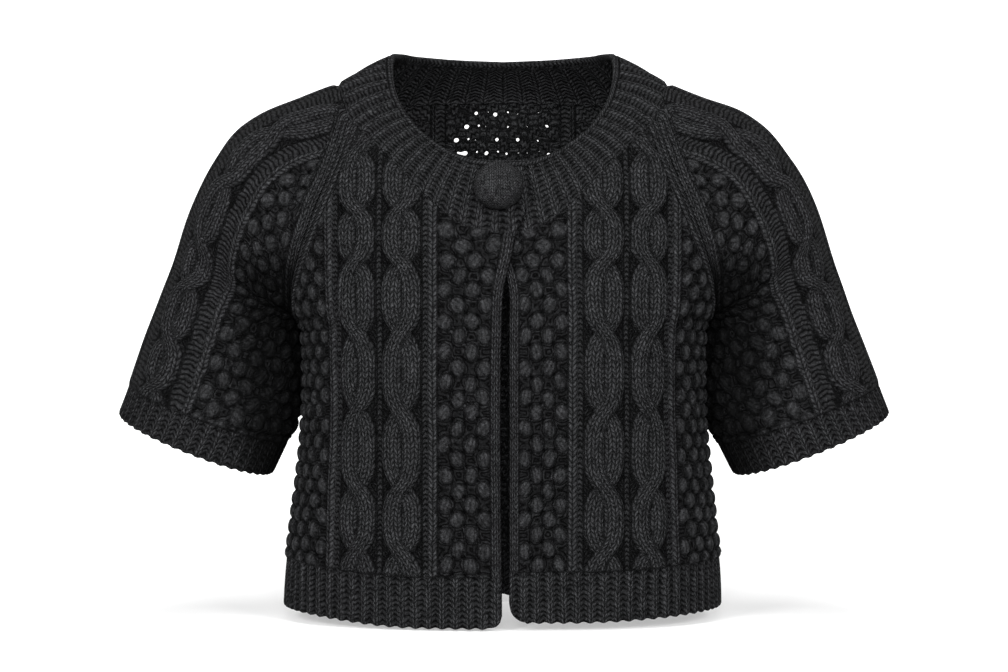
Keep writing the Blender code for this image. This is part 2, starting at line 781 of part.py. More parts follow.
def add_back(name):
    outline = Outline()
    side = side_of(BACK, HEM_SIDE)
    for s in hem_line(-side + 3, side - 3):
        outline.add(s, hem_height(BACK, LEFT, s), relief=HEM_SHARE * rib_relief(s, HEM_PITCH))
    hem_ends = len(outline.points)
    add_side(outline, BACK, LEFT, 1, upwards=True)
    add_raglan(outline, BACK, LEFT, 1, upwards=True)
    half = NECK_RIBS["back"] * STEPS_IN_RIB // 2
    for step in range(half, -half - 1, -1):
        hand, rib = (LEFT if step >= 0 else RIGHT), abs(step) / STEPS_IN_RIB
        s, height = neck_seam(BACK, hand, rib)
        outline.add(hand * s, height, normal=neck_normal(hand, RIBS_ROUND - rib))
    add_raglan(outline, BACK, RIGHT, -1, upwards=False)
    add_side(outline, BACK, RIGHT, -1, upwards=False)
    seams = np.array(outline.points[hem_ends:])
    one_side = chart_points(BODY_CHART, BODY_CROSSINGS, HEM + HEM_RIB + 8, NECK_SEAM[BACK][0, 1])
    detail = [(sign * s, t) for s, t in one_side for sign in (1, -1)]
    detail += hem_points(BACK, LEFT, -side, side)
    knit_body(name, outline, detail, BACK, LEFT, seams)


def add_sleeve(name, hand):
    outline = Outline()
    front, back = sleeve_edge(FRONT, hand, 0), sleeve_edge(BACK, hand, 0)
    ribs = round((front + back) / CUFF_PITCH)
    pitch = (front + back) / ribs
    around = np.linspace(-back, front, 2 * ribs + 1)
    for s in around[1:-1]:
        outline.add(s, 0, relief=HEM_SHARE * rib_relief(s + back, pitch))
    cuff_ends = len(outline.points)
    seam = [*map(sleeve_up, UNDER_STATIONS), UNDERARM_UP - 2 * SEAM_GAP]
    shares = np.linspace(1, 0, RAGLAN_STEPS + 1)[1:-1]
    for t in seam:
        outline.add(sleeve_edge(FRONT, hand, t), t, normal=under_normal(hand, t), sewn=True)
    for share in shares:
        t = sleeve_up(share)
        outline.add(sleeve_edge(FRONT, hand, t), t, normal=raglan_normal(FRONT, hand, share))
    for rib in np.arange(FRONT_CORNER, BACK_CORNER + 0.1, 1 / STEPS_IN_RIB):
        s = sleeve_top(hand, rib - FRONT_CORNER)
        outline.add(s, SLEEVE_LENGTH, normal=neck_normal(hand, rib))
    for share in shares[::-1]:
        t = sleeve_up(share)
        outline.add(-sleeve_edge(BACK, hand, t), t, normal=raglan_normal(BACK, hand, share))
    for t in seam[::-1]:
        outline.add(-sleeve_edge(BACK, hand, t), t, normal=under_normal(hand, t), sewn=True)
    seams = np.array(outline.points[cuff_ends:])
    one_side = chart_points(SLEEVE_CHART, SLEEVE_CROSSINGS, CUFF_RIB + 8, SLEEVE_LENGTH)
    detail = [(sign * s, t) for s, t in one_side for sign in (1, -1)]
    detail += grid(around[1:-1], (CUFF_RIB - 3,)) + grid(around[1:-1:2], (CUFF_RIB + 1,))

    def place(s, t):
        return sleeve_point(hand, s, t), sleeve_normal(hand, s, t)

    def relief(s, t):
        raised = chart_relief(SLEEVE_CHART, SLEEVE_CROSSINGS, abs(s), t)
        ribbed = rib_relief(s + back, pitch)
        height = ribbed + (raised - ribbed) * ease(CUFF_RIB - 3, CUFF_RIB + 1, t)
        return height * ease(0, SEAM_RUN, distance_to((s, t), seams))

    knit(name, outline, detail, place, relief)


def band_place(hand, rib):
    """s of the neckband at a rib that is counted from the middle of the front."""
    return hand * (RIBS_ROUND - rib) * BAND_RIB


def band_end(hand, share):
    """s of an end of the neckband, where share goes from its seam (0) up to the neck edge (1)."""
    return band_place(hand, front_ribs(hand)[0] - BAND_END_LEAN * math.sin(share * math.pi / 2))


def add_band_end(outline, hand, upwards):
    shares = np.linspace(0, 1, BAND_END_STEPS + 1)[1:]
    for share in shares if upwards else shares[::-1]:
        height = EDGE_HEIGHT * ease(0, 0.2, share)
        outline.add(band_end(hand, share), share * BAND_DEPTH, relief=height)


def add_neckband(name):
    """One strip all the way round, whose right end laps over its left end in front."""
    outline = Outline()
    beyond_fronts = np.arange(FRONT_CORNER + 0.5, RIBS_ROUND + 0.1, 1 / STEPS_IN_RIB)
    for rib in (*front_ribs(RIGHT), *beyond_fronts):
        outline.add(band_place(RIGHT, rib), 0, normal=neck_normal(RIGHT, rib))
    for rib in (*front_ribs(LEFT), *beyond_fronts)[-2::-1]:
        outline.add(band_place(LEFT, rib), 0, normal=neck_normal(LEFT, rib))
    first = math.ceil(band_end(RIGHT, 1) / BAND_STEP + 0.5)
    last = math.floor(band_end(LEFT, 1) / BAND_STEP - 0.5)
    across = np.arange(first, last + 1) * BAND_STEP
    add_band_end(outline, LEFT, upwards=True)
    for s in across[::-1]:
        outline.add(s, BAND_DEPTH, relief=HEM_SHARE * rib_relief(s, BAND_RIB))
    add_band_end(outline, RIGHT, upwards=False)
    detail = grid(across, np.array(BAND_ROWS) * BAND_DEPTH)

    def place(s, t):
        return band_point(s, t), band_normal(s, t)

    def relief(s, t):
        return rib_relief(s, BAND_RIB) * ease(0, SEAM_RUN, t)

    made = knit(name, outline, detail, place, relief)
    cut_buttonhole(made)


def button_place():
    """On the top end of the neckband: the point on its outside, and the way the button faces."""
    s = -(RIBS_ROUND - BUTTON_RIB) * BAND_RIB
    way = unit(band_normal(s, BUTTON_UP, reach=BUTTON_RADIUS))
    return band_point(s, BUTTON_UP), way


def turn_to(made, point, way):
    """Stands an object's own +Z along the way, at the point."""
    made.location = Vector(point * MM)
    made.rotation_euler = Vector(way).to_track_quat("Z", "Y").to_euler()


def cut_buttonhole(band):
    point, way = button_place()
    bpy.ops.mesh.primitive_cylinder_add(
        vertices=16, radius=BUTTONHOLE_RADIUS * MM, depth=BUTTONHOLE_DEPTH * MM
    )
    cutter = bpy.context.object
    cutter.name = "buttonhole_cutter"
    turn_to(cutter, point + way * (BUTTONHOLE_DEPTH / 2 - BUTTONHOLE_BEHIND), way)
    for collection in cutter.users_collection:
        collection.objects.unlink(cutter)
    cutters.objects.link(cutter)
    cutter.hide_render = True
    cutter.display_type = "WIRE"
    cut = band.modifiers.new("buttonhole", "BOOLEAN")
    cut.operation = "DIFFERENCE"
    cut.object = cutter


def add_button(name):
    """A domed button on a shank, as a turned profile that runs down its outer side."""
    point, way = button_place()
    profile = [(0.0, BUTTON_THICKNESS)]
    for turn in np.linspace(0, math.pi / 2, 8)[1:]:
        r, z = math.sin(turn), math.cos(turn)
        profile.append((BUTTON_RADIUS * r, BUTTON_RIM + (BUTTON_THICKNESS - BUTTON_RIM) * z))
    for turn in np.linspace(0, math.pi / 2, 4)[1:]:
        r, z = 1 - math.cos(turn), 1 - math.sin(turn)
        profile.append((BUTTON_RADIUS - BUTTON_RIM * r, BUTTON_RIM * z))
    profile += [(SHANK_RADIUS, 0.0), (SHANK_RADIUS, -SHANK_LENGTH), (0.0, -SHANK_LENGTH)]
    data = bpy.data.meshes.new(name)
    points = [(r * MM, 0.0, z * MM) for r, z in profile]
    data.from_pydata(points, [(i, i + 1) for i in range(len(points) - 1)], [])
    data.materials.append(yarn(name))
    made = bpy.data.objects.new(name, data)
    garment.objects.link(made)
    turn_to(made, point + way * BUTTON_OFF, way)
    screw = made.modifiers.new("turned", "SCREW")
    screw.steps = screw.render_steps = BUTTON_STEPS
    screw.use_merge_vertices = True
    screw.merge_threshold = 0.00001
    screw.use_smooth_shade = True


for old in list(bpy.data.objects):
    bpy.data.objects.remove(old)
garment = bpy.data.collections.new("cable_cardigan")
cutters = bpy.data.collections.new("cutters")
for made in (garment, cutters):
    bpy.context.scene.collection.children.link(made)

add_front("right_front", RIGHT)
add_front("left_front", LEFT)
add_back("back")
add_sleeve("right_sleeve", RIGHT)
add_sleeve("left_sleeve", LEFT)
add_neckband("neckband")
add_button("button")
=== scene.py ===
"""The looks of a cropped cable cardigan: seven knitted pieces over the solids of its frame.

Sizes are written in millimetres and scaled by MM. On a knitted panel, s is the distance across
it and t the distance up it, and on the body t is the height, which is 0 at the shoulders. A
panel's column and row of stitches follow its strands in the attribute "stitch", whose third
part is painted shade, which darkens the colour in the hollows of the knit.
"""

import math

import bpy
import numpy as np
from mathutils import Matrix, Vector
from mathutils.kdtree import KDTree


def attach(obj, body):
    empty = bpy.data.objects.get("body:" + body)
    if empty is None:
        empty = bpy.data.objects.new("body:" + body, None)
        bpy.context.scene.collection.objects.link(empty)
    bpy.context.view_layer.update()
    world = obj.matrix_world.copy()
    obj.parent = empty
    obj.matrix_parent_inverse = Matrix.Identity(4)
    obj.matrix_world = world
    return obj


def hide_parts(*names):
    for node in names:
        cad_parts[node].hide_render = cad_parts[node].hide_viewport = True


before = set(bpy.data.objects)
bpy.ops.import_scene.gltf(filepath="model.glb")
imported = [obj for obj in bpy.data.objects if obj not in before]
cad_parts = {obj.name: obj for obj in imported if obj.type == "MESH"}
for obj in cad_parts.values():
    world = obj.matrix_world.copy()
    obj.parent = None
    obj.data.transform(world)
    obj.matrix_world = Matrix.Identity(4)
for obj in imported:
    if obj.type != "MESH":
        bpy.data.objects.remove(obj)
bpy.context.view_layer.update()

# ---- The two fronts -------------------------------------------------------------------------
# Each front is knitted in one piece from its ribbed hem up: an edge band, a bobble panel, two
# cables between ridges, and bobbles out to the side. Chunky charcoal wool, plied and matt. They
# are sewn to the back and the sleeves, and the right one laps over the left one.

MM = 0.001
FRONT, BACK = -1, 1  # the sign of Y that a side of the garment faces
RIGHT, LEFT = -1, 1  # the sign of X on the wearer's right and left

STITCH, ROW = 3.9, 3.9  # width of one stitch, and height of one row
WALL = 3.2  # thickness of the knit under its cables and ribs
SEAM_GAP = 0.15  # how far each panel stays short of a seam
ROUNDNESS = 2.4  # power of the body's rings, which are ellipses at 2
STRAND = 7.8  # half the width of one strand of a cable
CABLE_HEIGHT = 4.8
OVER, UNDER = 1.7, -1.3  # how far a strand rises and sinks where two strands cross
BOBBLE = {"half_width": 5.1, "half_height": 6.2, "pitch": 8.6, "rise": 22.4, "height": 4.4}
# Two pits over each bobble: how far back towards the panel's edge, how far up, and radius
BOBBLE_PITS = ((5.2, 5.4, 2.1), (-4.4, 6.6, 1.6))
NO_BOBBLE = 9.0  # a distance past any bobble
SEAM_BAND = 5.2  # width of each of the two knit columns beside a raglan seam
NECK_LEVEL = 1.2  # height of the stitches along the neckband's seam
CORNER_REACH = 9.0  # how near to a corner the ways of its seams turn to one
LAP = 3.7  # how far each front's cloth moves at the lap

HEM = -438.0
HEM_SIDE = -430.5
UNDERARM = -205.0
HEM_RIB = 38.0  # height of the ribbing
HEM_PITCH = 9.9  # from one rib to the next
RIB_REACH = 1.2  # how far a rib reaches past the purl beside it at an edge
HEM_CORNER = {RIGHT: 9.0, LEFT: 14.0}
HEM_RISE = {RIGHT: 0.0, LEFT: 4.0}

# Half rings of the body, inside the cloth: height, half width, depth in front and behind
BODY = np.array(
    (
        (-440, 165.0, 109, 98),
        (-400, 163.5, 110, 97),
        (-370, 160.0, 111, 96),
        (-335, 155.5, 113, 96),
        (-300, 152.0, 116, 98),
        (-260, 150.5, 118, 101),
        (-228, 150.5, 118, 104),
        (-214, 151.6, 117, 105),
        (-205, 158.5, 116, 106),
        (-190, 164.0, 114, 107),
        (-170, 168.5, 111, 109),
        (-145, 171.0, 108, 110),
        (-122, 170.0, 103, 109),
        (-90, 156.0, 93, 107),
        (-61, 139.0, 81, 103),
        (-32, 128.0, 66, 97),
    )
)
# The raglan seams: height, and how far each lies in front of and behind the side
RAGLAN = np.array(
    (
        (-205, 0.0, 0.0),
        (-200, 20.0, 22.0),
        (-190, 35.0, 40.0),
        (-177, 48.0, 55.0),
        (-150, 64.0, 74.0),
        (-122, 70.0, 82.0),
        (-90, 65.0, 82.0),
        (-61, 53.0, 76.0),
        (-36, 40.0, 68.0),
    )
)
RAGLAN_TOP = {FRONT: -61.0, BACK: -36.0}
DEPTHS = {FRONT: 2, BACK: 3}  # the column of BODY for each side
HALVES = [(facing, hand) for facing in (FRONT, BACK) for hand in (RIGHT, LEFT)]
# The neckband's seam: share of the way from the middle to the raglan, and height
NECK_SEAM = {
    FRONT: np.array(((0, -149), (0.28, -141), (0.47, -122), (0.70, -95), (1, -61))),
    BACK: np.array(((0, -32), (0.40, -33), (0.75, -34.5), (1, -36))),
}
# The front edges: height, and how far the right and the left one reach past the middle
FRONT_EDGE = np.array(
    (
        (-440, -0.5, -4.5),
        (-210, -0.5, -4.5),
        (-195, 0.0, -4.5),
        (-180, 2.5, -2.0),
        (-165, 6.5, 4.0),
        (-148, 10.0, 9.0),
        (-125, 18.0, 14.0),
        (-80, 19.0, 15.0),
    )
)
FRONT_CHART = (
    ("plain", 2), ("bobbles", 10), ("column", 2), ("purl", 1), ("cable", 8), ("purl", 1),
    ("cable", 8), ("purl", 1), ("column", 2), ("bobbles", 60),
)
BODY_CROSSINGS = (-434, -383, -335, -278, -221, -169, -130, -88, -46, -4)


def read(table, column, at):
    """A column of a table, read smoothly between its rows."""
    x, y = table[:, 0], table[:, column]
    slope = np.gradient(y, x)
    at = np.clip(at, x[0], x[-1])
    i = np.clip(np.searchsorted(x, at) - 1, 0, len(x) - 2)
    step = x[i + 1] - x[i]
    u = (at - x[i]) / step
    return (
        y[i] * (1 + 2 * u) * (1 - u) ** 2
        + slope[i] * step * u * (1 - u) ** 2
        + y[i + 1] * u * u * (3 - 2 * u)
        - slope[i + 1] * step * u * u * (1 - u)
    )


def ease(low, high, x):
    u = np.clip((x - low) / (high - low), 0, 1)
    return u * u * (3 - 2 * u)


def unit(v):
    return v / np.linalg.norm(v, axis=-1, keepdims=True)


def lengths(points):
    """The distance along a line of points, up to each of them."""
    return np.concatenate(([0.0], np.cumsum(np.linalg.norm(np.diff(points, axis=0), axis=1))))


def along_line(points, distance):
    run = lengths(points)
    return np.stack([np.interp(distance, run, points[:, i]) for i in range(3)], axis=-1)


RING_STEP = 4.0
RING_HEIGHTS = np.arange(-448.0, -20.0, RING_STEP)


def ring_turns(facing):
    """For each height, the turn round the ring at each millimetre from the middle; its length."""
    turn = np.linspace(0, math.pi / 2, 400)
    table, sides = [], []
    for height in RING_HEIGHTS:
        x = read(BODY, 1, height) * np.sin(turn) ** (2 / ROUNDNESS)
        y = read(BODY, DEPTHS[facing], height) * np.cos(turn).clip(0) ** (2 / ROUNDNESS)
        run = lengths(np.stack((x, y, 0 * x), axis=1))
        table.append(np.interp(np.arange(270), run, turn))
        sides.append(run[-1])
    return np.array(table), np.array(sides)


RING_TURNS = {facing: ring_turns(facing) for facing in (FRONT, BACK)}


def side_of(facing, t):
    return np.interp(t, RING_HEIGHTS, RING_TURNS[facing][1])


def lap(hand, x, t):
    """How far a front's cloth moves along Y near the middle, where one front laps the other."""
    return hand * LAP * (1 - ease(25, 80, abs(x))) * (0.3 + 0.7 * ease(-215, -165, t))


def body_place(facing, hand, s, t):
    """Points inside the body's cloth, s from the middle towards one hand and t high."""
    s, t = np.broadcast_arrays(np.asarray(s, float), np.asarray(t, float))
    table = RING_TURNS[facing][0]
    row = np.clip((t - RING_HEIGHTS[0]) / RING_STEP, 0, len(table) - 1.001)
    column = np.clip(abs(s), 0, table.shape[1] - 1.001)
    i, j = row.astype(int), column.astype(int)
    a, b = row - i, column - j
    low = table[i, j] * (1 - b) + table[i, j + 1] * b
    high = table[i + 1, j] * (1 - b) + table[i + 1, j + 1] * b
    turn = low * (1 - a) + high * a
    x = hand * np.sign(s) * read(BODY, 1, t) * np.sin(turn) ** (2 / ROUNDNESS)
    y = facing * read(BODY, DEPTHS[facing], t) * np.cos(turn).clip(0) ** (2 / ROUNDNESS)
    if facing == FRONT:
        y = y + lap(hand, x, t)
    return np.stack((x, y, t), axis=-1)


def body_out(facing, hand, s, t, reach=1.5):
    """The way that the body's cloth faces."""
    limit = side_of(facing, t)
    across = body_place(facing, hand, np.minimum(s + reach, limit), t) - body_place(
        facing, hand, np.maximum(s - reach, -limit), t
    )
    up = body_place(facing, hand, s, t + reach) - body_place(facing, hand, s, t - reach)
    return unit(np.cross(across, up)) * -facing * hand


def raglan_line(facing, hand):
    """A raglan seam from the neckband to the underarm: shares of its run, s and heights."""
    heights = np.linspace(RAGLAN_TOP[facing], UNDERARM, 90)
    depths = read(RAGLAN, 1 if facing == FRONT else 2, heights)
    s = []
    for height, depth in zip(heights, depths):
        out = np.linspace(0, side_of(facing, height), 500)
        y = abs(body_place(facing, hand, out, height)[:, 1])
        s.append(np.interp(-depth, -y, out))
    s = np.array(s)
    run = lengths(body_place(facing, hand, s, heights))
    return run / run[-1], s, heights


RAGLANS = {half: raglan_line(*half) for half in HALVES}


def raglan(facing, hand, share):
    shares, s, heights = RAGLANS[facing, hand]
    return np.interp(share, shares, s), np.interp(share, shares, heights)


def neck_line(facing, hand):
    """The neckband's seam on a front or half the back, from the middle: its run, s and heights."""
    share = np.linspace(0, 1, 120)
    z = read(NECK_SEAM[facing], 1, share)
    top = raglan(facing, LEFT, 0)
    x = share * body_place(facing, LEFT, *top)[0]
    s = []
    for a, height in zip(x, z):
        out = np.linspace(0, side_of(facing, height), 500)
        s.append(np.interp(a, body_place(facing, LEFT, out, height)[:, 0], out))
    s = np.array(s)
    return lengths(body_place(facing, hand, s, z)), s, z


NECK_LINES = {half: neck_line(*half) for half in HALVES}

chance = np.random.default_rng(23)
SCATTER = chance.uniform(-1, 1, (5, 64, 64))  # small differences between bobbles


def cable_stitches(off, t, crossings, turn):
    """Two strands that change places at each crossing, and one is always on top."""
    step = 0.5
    fine = np.arange(min(crossings), max(crossings) + 40, step)

    def swing(at):
        phase = np.interp(at, crossings, range(len(crossings)))
        return np.tanh(1.4 * np.sin(np.pi * phase)) / math.tanh(1.4) * turn

    slope = np.gradient(swing(fine), fine) * STRAND
    run = np.concatenate(([0.0], np.cumsum(np.hypot(1, slope[1:]) * step)))
    wave, lean, run = swing(t), np.interp(t, fine, slope), np.interp(t, fine, run)
    crossing = 1 - wave * wave
    reach = STRAND * (abs(wave) + 1)
    # Painted shade darkens the purl round the strands, and each strand's edges.
    found = {
        "height": 1.4 * (1 - (abs(off) / reach).clip(0, 1) ** 4) - 0.2,
        "u": off / SEAM_BAND,
        "v": t / ROW,
        "purl": np.ones_like(t),
        "painted_shade": np.full_like(t, 0.75),
    }
    for sign, lift in ((1, OVER), (-1, UNDER)):
        away = (off - sign * wave * STRAND) / STRAND / 1.05
        dome = (1 - abs(away).clip(0, 1) ** 2.8) ** 0.5
        column = 1.5 + 1.5 * away
        height = (CABLE_HEIGHT + lift * crossing) * dome
        height += 0.8 * (abs(np.sin(np.pi * column)) - 0.6) * dome
        better = height > found["height"]
        sine = sign * lean / np.hypot(1, lean)
        values = {
            "height": height,
            "u": column,
            "v": (run + away * STRAND * sine) / ROW,
            "purl": 0.0,
            "painted_shade": 0.9 * ease(0.74, 1.0, abs(away)),
        }
        for name, value in values.items():
            found[name] = np.where(better, value, found[name])
    return found


def bobble_stitches(q, t, width, signed):
    """Bobbles in a lattice, with loops of yarn round them and two small pits over each."""
    half, tall, pitch = (BOBBLE[key] for key in ("half_width", "half_height", "pitch"))
    first = 0.0 if signed else half
    room = width - half - first
    if room < 100:
        pitch = room / round(room / pitch)
    last = int(room / pitch + 0.5)
    nearest = np.round((q - first) / pitch)
    best, hole = np.full_like(q, NO_BOBBLE), np.full_like(q, NO_BOBBLE)
    found = {name: np.zeros_like(q) for name in ("u", "v")}
    for step in (-1, 0, 1):
        i = nearest + step
        odd = abs(i) % 2
        j = np.round(t / BOBBLE["rise"] - odd / 2)
        jitter = SCATTER[:, i.astype(int) % 64, j.astype(int) % 64]
        out = (i > last) | (i < (-last if signed else 0))
        x = q - first - i * pitch - 0.9 * jitter[0]
        y = t - (j + odd / 2) * BOBBLE["rise"] - 1.2 * jitter[1]
        for back, up, size in BOBBLE_PITS:
            away = np.hypot(x + back + 0.7 * jitter[3], y - up) / size / (1 + 0.25 * jitter[2])
            hole = np.where(out, hole, np.minimum(hole, away))
        x, y = x / half / (1 + 0.12 * jitter[2]), y / tall
        x = x + 0.22 * jitter[4] * y
        r = np.where(out, NO_BOBBLE, (abs(x) ** 2.2 + abs(y) ** 2.2) ** (1 / 2.2))
        angle = np.where(odd > 0, 0.6, -0.5) + 0.5 * jitter[3]
        a = x * np.cos(angle) + y * np.sin(angle)
        b = y * np.cos(angle) - x * np.sin(angle)
        better = r < best
        best = np.where(better, r, best)
        found["u"] = np.where(better, 1.4 * a * (1 + 0.3 * b) + 0.5 * jitter[4], found["u"])
        found["v"] = np.where(better, b, found["v"])
    dome = (1 - best.clip(0, 1) ** 2.2) ** 0.6
    pit = 1 - ease(0.6, 1.2, hole)
    round_off = best < 1.02
    found["height"] = BOBBLE["height"] * dome + (1.0 - 1.8 * pit) * (1 - dome)
    # Painted shade: the colour darkens at each bobble's brim, over the ground between bobbles, and
    # in the pits.
    brim_shade, ground_shade = 0.7 * ease(0.75, 1.04, best), 0.35 + 0.55 * ease(1.15, 1.4, best)
    found["painted_shade"] = np.maximum(np.where(round_off, brim_shade, ground_shade), pit)
    found["bobble"] = 1.0 * round_off
    found["purl"] = 1.0 * ~round_off
    found["u"] = np.where(round_off, found["u"], t / 9)
    found["v"] = np.where(round_off, found["v"], 2.2 * best)
    found["gap"] = np.where(best < NO_BOBBLE - 1, 2 - hole, 0)
    return found


def rib_stitches(q, t, pitch, height=2.4):
    """Knit columns that stand up, with purl between them."""
    ridge = 0.5 - 0.5 * np.cos(2 * np.pi * q / pitch)
    # Painted shade darkens the purl in the grooves between ribs.
    return {
        "height": height * ridge**0.75 - 0.2,
        "inner": 1.4 * (1 - ridge) ** 0.75,
        "u": 2 * q / pitch + 0.5,
        "v": t / ROW,
        "purl": 1 - ease(0.3, 0.6, ridge),
        "painted_shade": 0.75 * (1 - ease(0.05, 0.45, ridge)),
    }


NAMES = ("height", "inner", "u", "v", "purl", "bobble", "painted_shade", "gap")


def chart_stitches(chart, crossings, q, t, rise, signed=None):
    """What a chart's stitches do at each point. The first zone may run on past the middle."""
    out = {name: np.zeros_like(q) for name in NAMES}
    start, cable = 0.0, 0
    # Purl zones and the edges of knit columns get painted shade.
    for number, (kind, stitches) in enumerate(chart):
        end = start + stitches * STITCH
        at = (q >= start if number else q > -99) & (q < end)
        here, up, risen = q[at], t[at], rise[at]
        if kind == "cable":
            turn = 1 if cable % 2 else -1
            found = cable_stitches(here - (start + end) / 2, up, crossings, turn)
            found["v"] = found["v"] + (risen - up) / ROW
            cable += 1
        elif kind == "bobbles":
            wide = signed is not None and number == 0
            found = bobble_stitches(signed[at] if wide else here - start, risen, end - start, wide)
        elif kind == "purl":
            share = (here - start) / (end - start)
            found = {
                "u": share, "v": risen / ROW, "purl": 1.0, "painted_shade": 0.5, "height": 0.3 + 0 * here,
            }
        else:
            share = (here - start) / (end - start)
            dome = (1 - abs(2 * share.clip(0, 1) - 1) ** 2.4) ** 0.5
            columns, tall = (1, 3.0) if kind == "column" else (2, 1.9)
            found = {
                "u": share * columns,
                "v": risen / ROW,
                "painted_shade": 0.7 * (1 - ease(0, 0.5, dome)),
                "height": tall * dome,
            }
        for name, value in found.items():
            out[name][at] = value
        start = end
    return out


def mixed(under, over, weight):
    """Stitches that change from one kind to another, by the weight of the second."""
    out = {}
    for name in NAMES:
        a, b = (np.broadcast_to(x.get(name, 0.0), weight.shape) for x in (under, over))
        out[name] = a + (b - a) * weight if name == "height" else np.where(weight > 0.5, b, a)
    return out


def seam_stitches(distance, run):
    """Two knit columns that run beside a seam."""
    column = distance / SEAM_BAND
    dome = abs(np.sin(np.pi * column)) ** 0.6
    # Painted shade darkens the colour between the two columns and at the seam.
    return {
        "height": 0.4 + 2.2 * dome,
        "u": column,
        "v": run / ROW,
        "painted_shade": 0.6 * (1 - ease(0.1, 0.6, dome)),
    }


def ribbed_edge(q, pitch):
    """How far each point of a ribbed edge reaches out."""
    return RIB_REACH * (0.5 - 0.5 * np.cos(2 * np.pi * q / pitch))


def mitre(*ways):
    """The way that a seam's wall takes between panels, long enough for their thickness."""
    total = unit(sum(ways))
    return total / np.clip((total * ways[0]).sum(axis=-1, keepdims=True), 0.65, None)


def swell(points):
    """Soft unevenness of worn cloth: shallow waves that run mostly down the garment."""
    x, y, z = (points[..., i] for i in range(3))
    return (
        0.9 * np.sin(x / 21 + 0.8 * np.sin(z / 46)) * np.sin(z / 63 + y / 37 + 0.4)
        + 0.6 * np.sin(x / 12.5 - z / 31 + 1.3) * np.sin(z / 44 - y / 23)
    )


def front_edge(hand, t):
    return -read(FRONT_EDGE, 1 if hand == RIGHT else 2, t)


def hem_height(facing, hand, s):
    middle = HEM + (HEM_RISE[hand] if facing == FRONT else HEM_RISE[LEFT])
    return middle + (HEM_SIDE - middle) * ease(60, 190, abs(s))


class Shade:
    """A value in a material's nodes, which takes + - * and the rest of a maker's sums."""

    def __init__(self, tree, socket=None):
        self.tree, self.socket = tree, socket

    def node(self, kind, *inputs, out=0, **named):
        made = self.tree.nodes.new(kind)
        sockets = {socket: value for socket, value in zip(made.inputs, inputs)}
        for name, value in named.items():
            if name.replace("_", " ") in made.inputs:
                sockets[made.inputs[name.replace("_", " ")]] = value
            else:
                setattr(made, name, value)
        for socket, value in sockets.items():
            if isinstance(value, Shade):
                self.tree.links.new(value.socket, socket)
            else:
                socket.default_value = value
        return Shade(self.tree, made.outputs[out])

    def sum(self, operation, *others):
        return self.node("ShaderNodeMath", self, *others, operation=operation)

    def __add__(self, other):
        return self.sum("ADD", other)

    def __sub__(self, other):
        return self.sum("SUBTRACT", other)

    def __mul__(self, other):
        return self.sum("MULTIPLY", other)

    def __rsub__(self, other):
        return self.node("ShaderNodeMath", other, self, operation="SUBTRACT")

    __radd__ = __add__
    __rmul__ = __mul__

    def arch(self):
        """1 in the middle of each whole step and 0 at its ends."""
        turned = self.sum("FRACT") * 2 - 1
        return 1 - turned * turned

    def blend(self, other, weight):
        return self + (other - self) * weight

    def feed(self, shader, name):
        self.tree.links.new(self.socket, shader.inputs[name])


def knitted(name, colour, depth, fuzz):
    """Knit in plied wool. Each stitch is two slanting legs, or a bar where it is purled."""
    made = bpy.data.materials.new(name)
    made.use_nodes = True
    shader = made.node_tree.nodes["Principled BSDF"]
    start = Shade(made.node_tree)
    stitch = start.node("ShaderNodeAttribute", attribute_name="stitch", out=1)
    u, v, painted_shade = (start.node("ShaderNodeSeparateXYZ", stitch, out=i) for i in range(3))
    kind = start.node("ShaderNodeAttribute", attribute_name="kind", out=1)
    purl, bobble = (start.node("ShaderNodeSeparateXYZ", kind, out=i) for i in range(2))
    place = start.node("ShaderNodeTexCoord", out=3)
    noise = "ShaderNodeTexNoise"
    fibre = start.node(noise, place, Scale=900.0, Detail=3.0, Roughness=0.8)
    wander = start.node(noise, place, Scale=170.0, Detail=1.5)
    patch = start.node(noise, place, Scale=30.0, Detail=2.0)
    curl = start.node(noise, place, Scale=430.0, Detail=1.0, Distortion=1.2)
    v = v + (wander - 0.5) * 0.9
    u = u + (patch - 0.5) * 0.3 + (wander - 0.5) * 0.25 * (1 + 2 * bobble)
    beside = (u.sum("FRACT") - 0.5).sum("ABSOLUTE")
    leg = (beside - 0.25) * 4
    leg = (1 - leg * leg).sum("POWER", 0.6)
    stroke = (v - beside * 1.7).arch()
    knit = leg * (stroke * 0.75 + 0.25)
    bar = (v + beside * 0.9 + (patch - 0.5)).arch() * 0.9
    knot = u.arch() * (v.arch() * 0.15 + 0.25) + 0.4
    pattern = knit.blend(bar, purl).blend(knot, bobble)
    start.node(
        "ShaderNodeBump", Strength=1.0, Distance=depth * MM, Height=pattern + (fibre + curl) * fuzz
    ).feed(shader, "Normal")
    # The base colour holds painted shade and highlight: brighter on the raised yarn of each
    # stitch, darker between the legs and by the painted shade, times random tone of the fibres.
    light = (pattern * 1.25 + 0.1).sum("POWER", 1.2) * (1 - painted_shade * 0.8) * (fibre * 3.2 - 0.6)
    light = light * (wander * 1.2 + 0.4) * (curl * 2.6 - 0.3)
    start.node("ShaderNodeVectorMath", colour, operation="SCALE", Scale=light).feed(
        shader, "Base Color"
    )
    shader.inputs["Roughness"].default_value = 0.9
    shader.inputs["Specular IOR Level"].default_value = 0.03
    return made


YARN = knitted("yarn", (0.0152, 0.0155, 0.0163), 1.6, 0.45)


def vertex_places(mesh):
    places = np.empty(len(mesh.vertices) * 3)
    mesh.vertices.foreach_get("co", places)
    return places.reshape(-1, 3)


def face_corners(mesh):
    corners = np.empty(len(mesh.polygons) * 4, int)
    mesh.polygons.foreach_get("vertices", corners)
    return corners.reshape(-1, 4)


def grid_places(mesh, rows, columns):
    """The row and column of each vertex of a flat grid."""
    return np.round((vertex_places(mesh)[:, 1::-1] + 1) / 2 * (rows - 1, columns - 1))


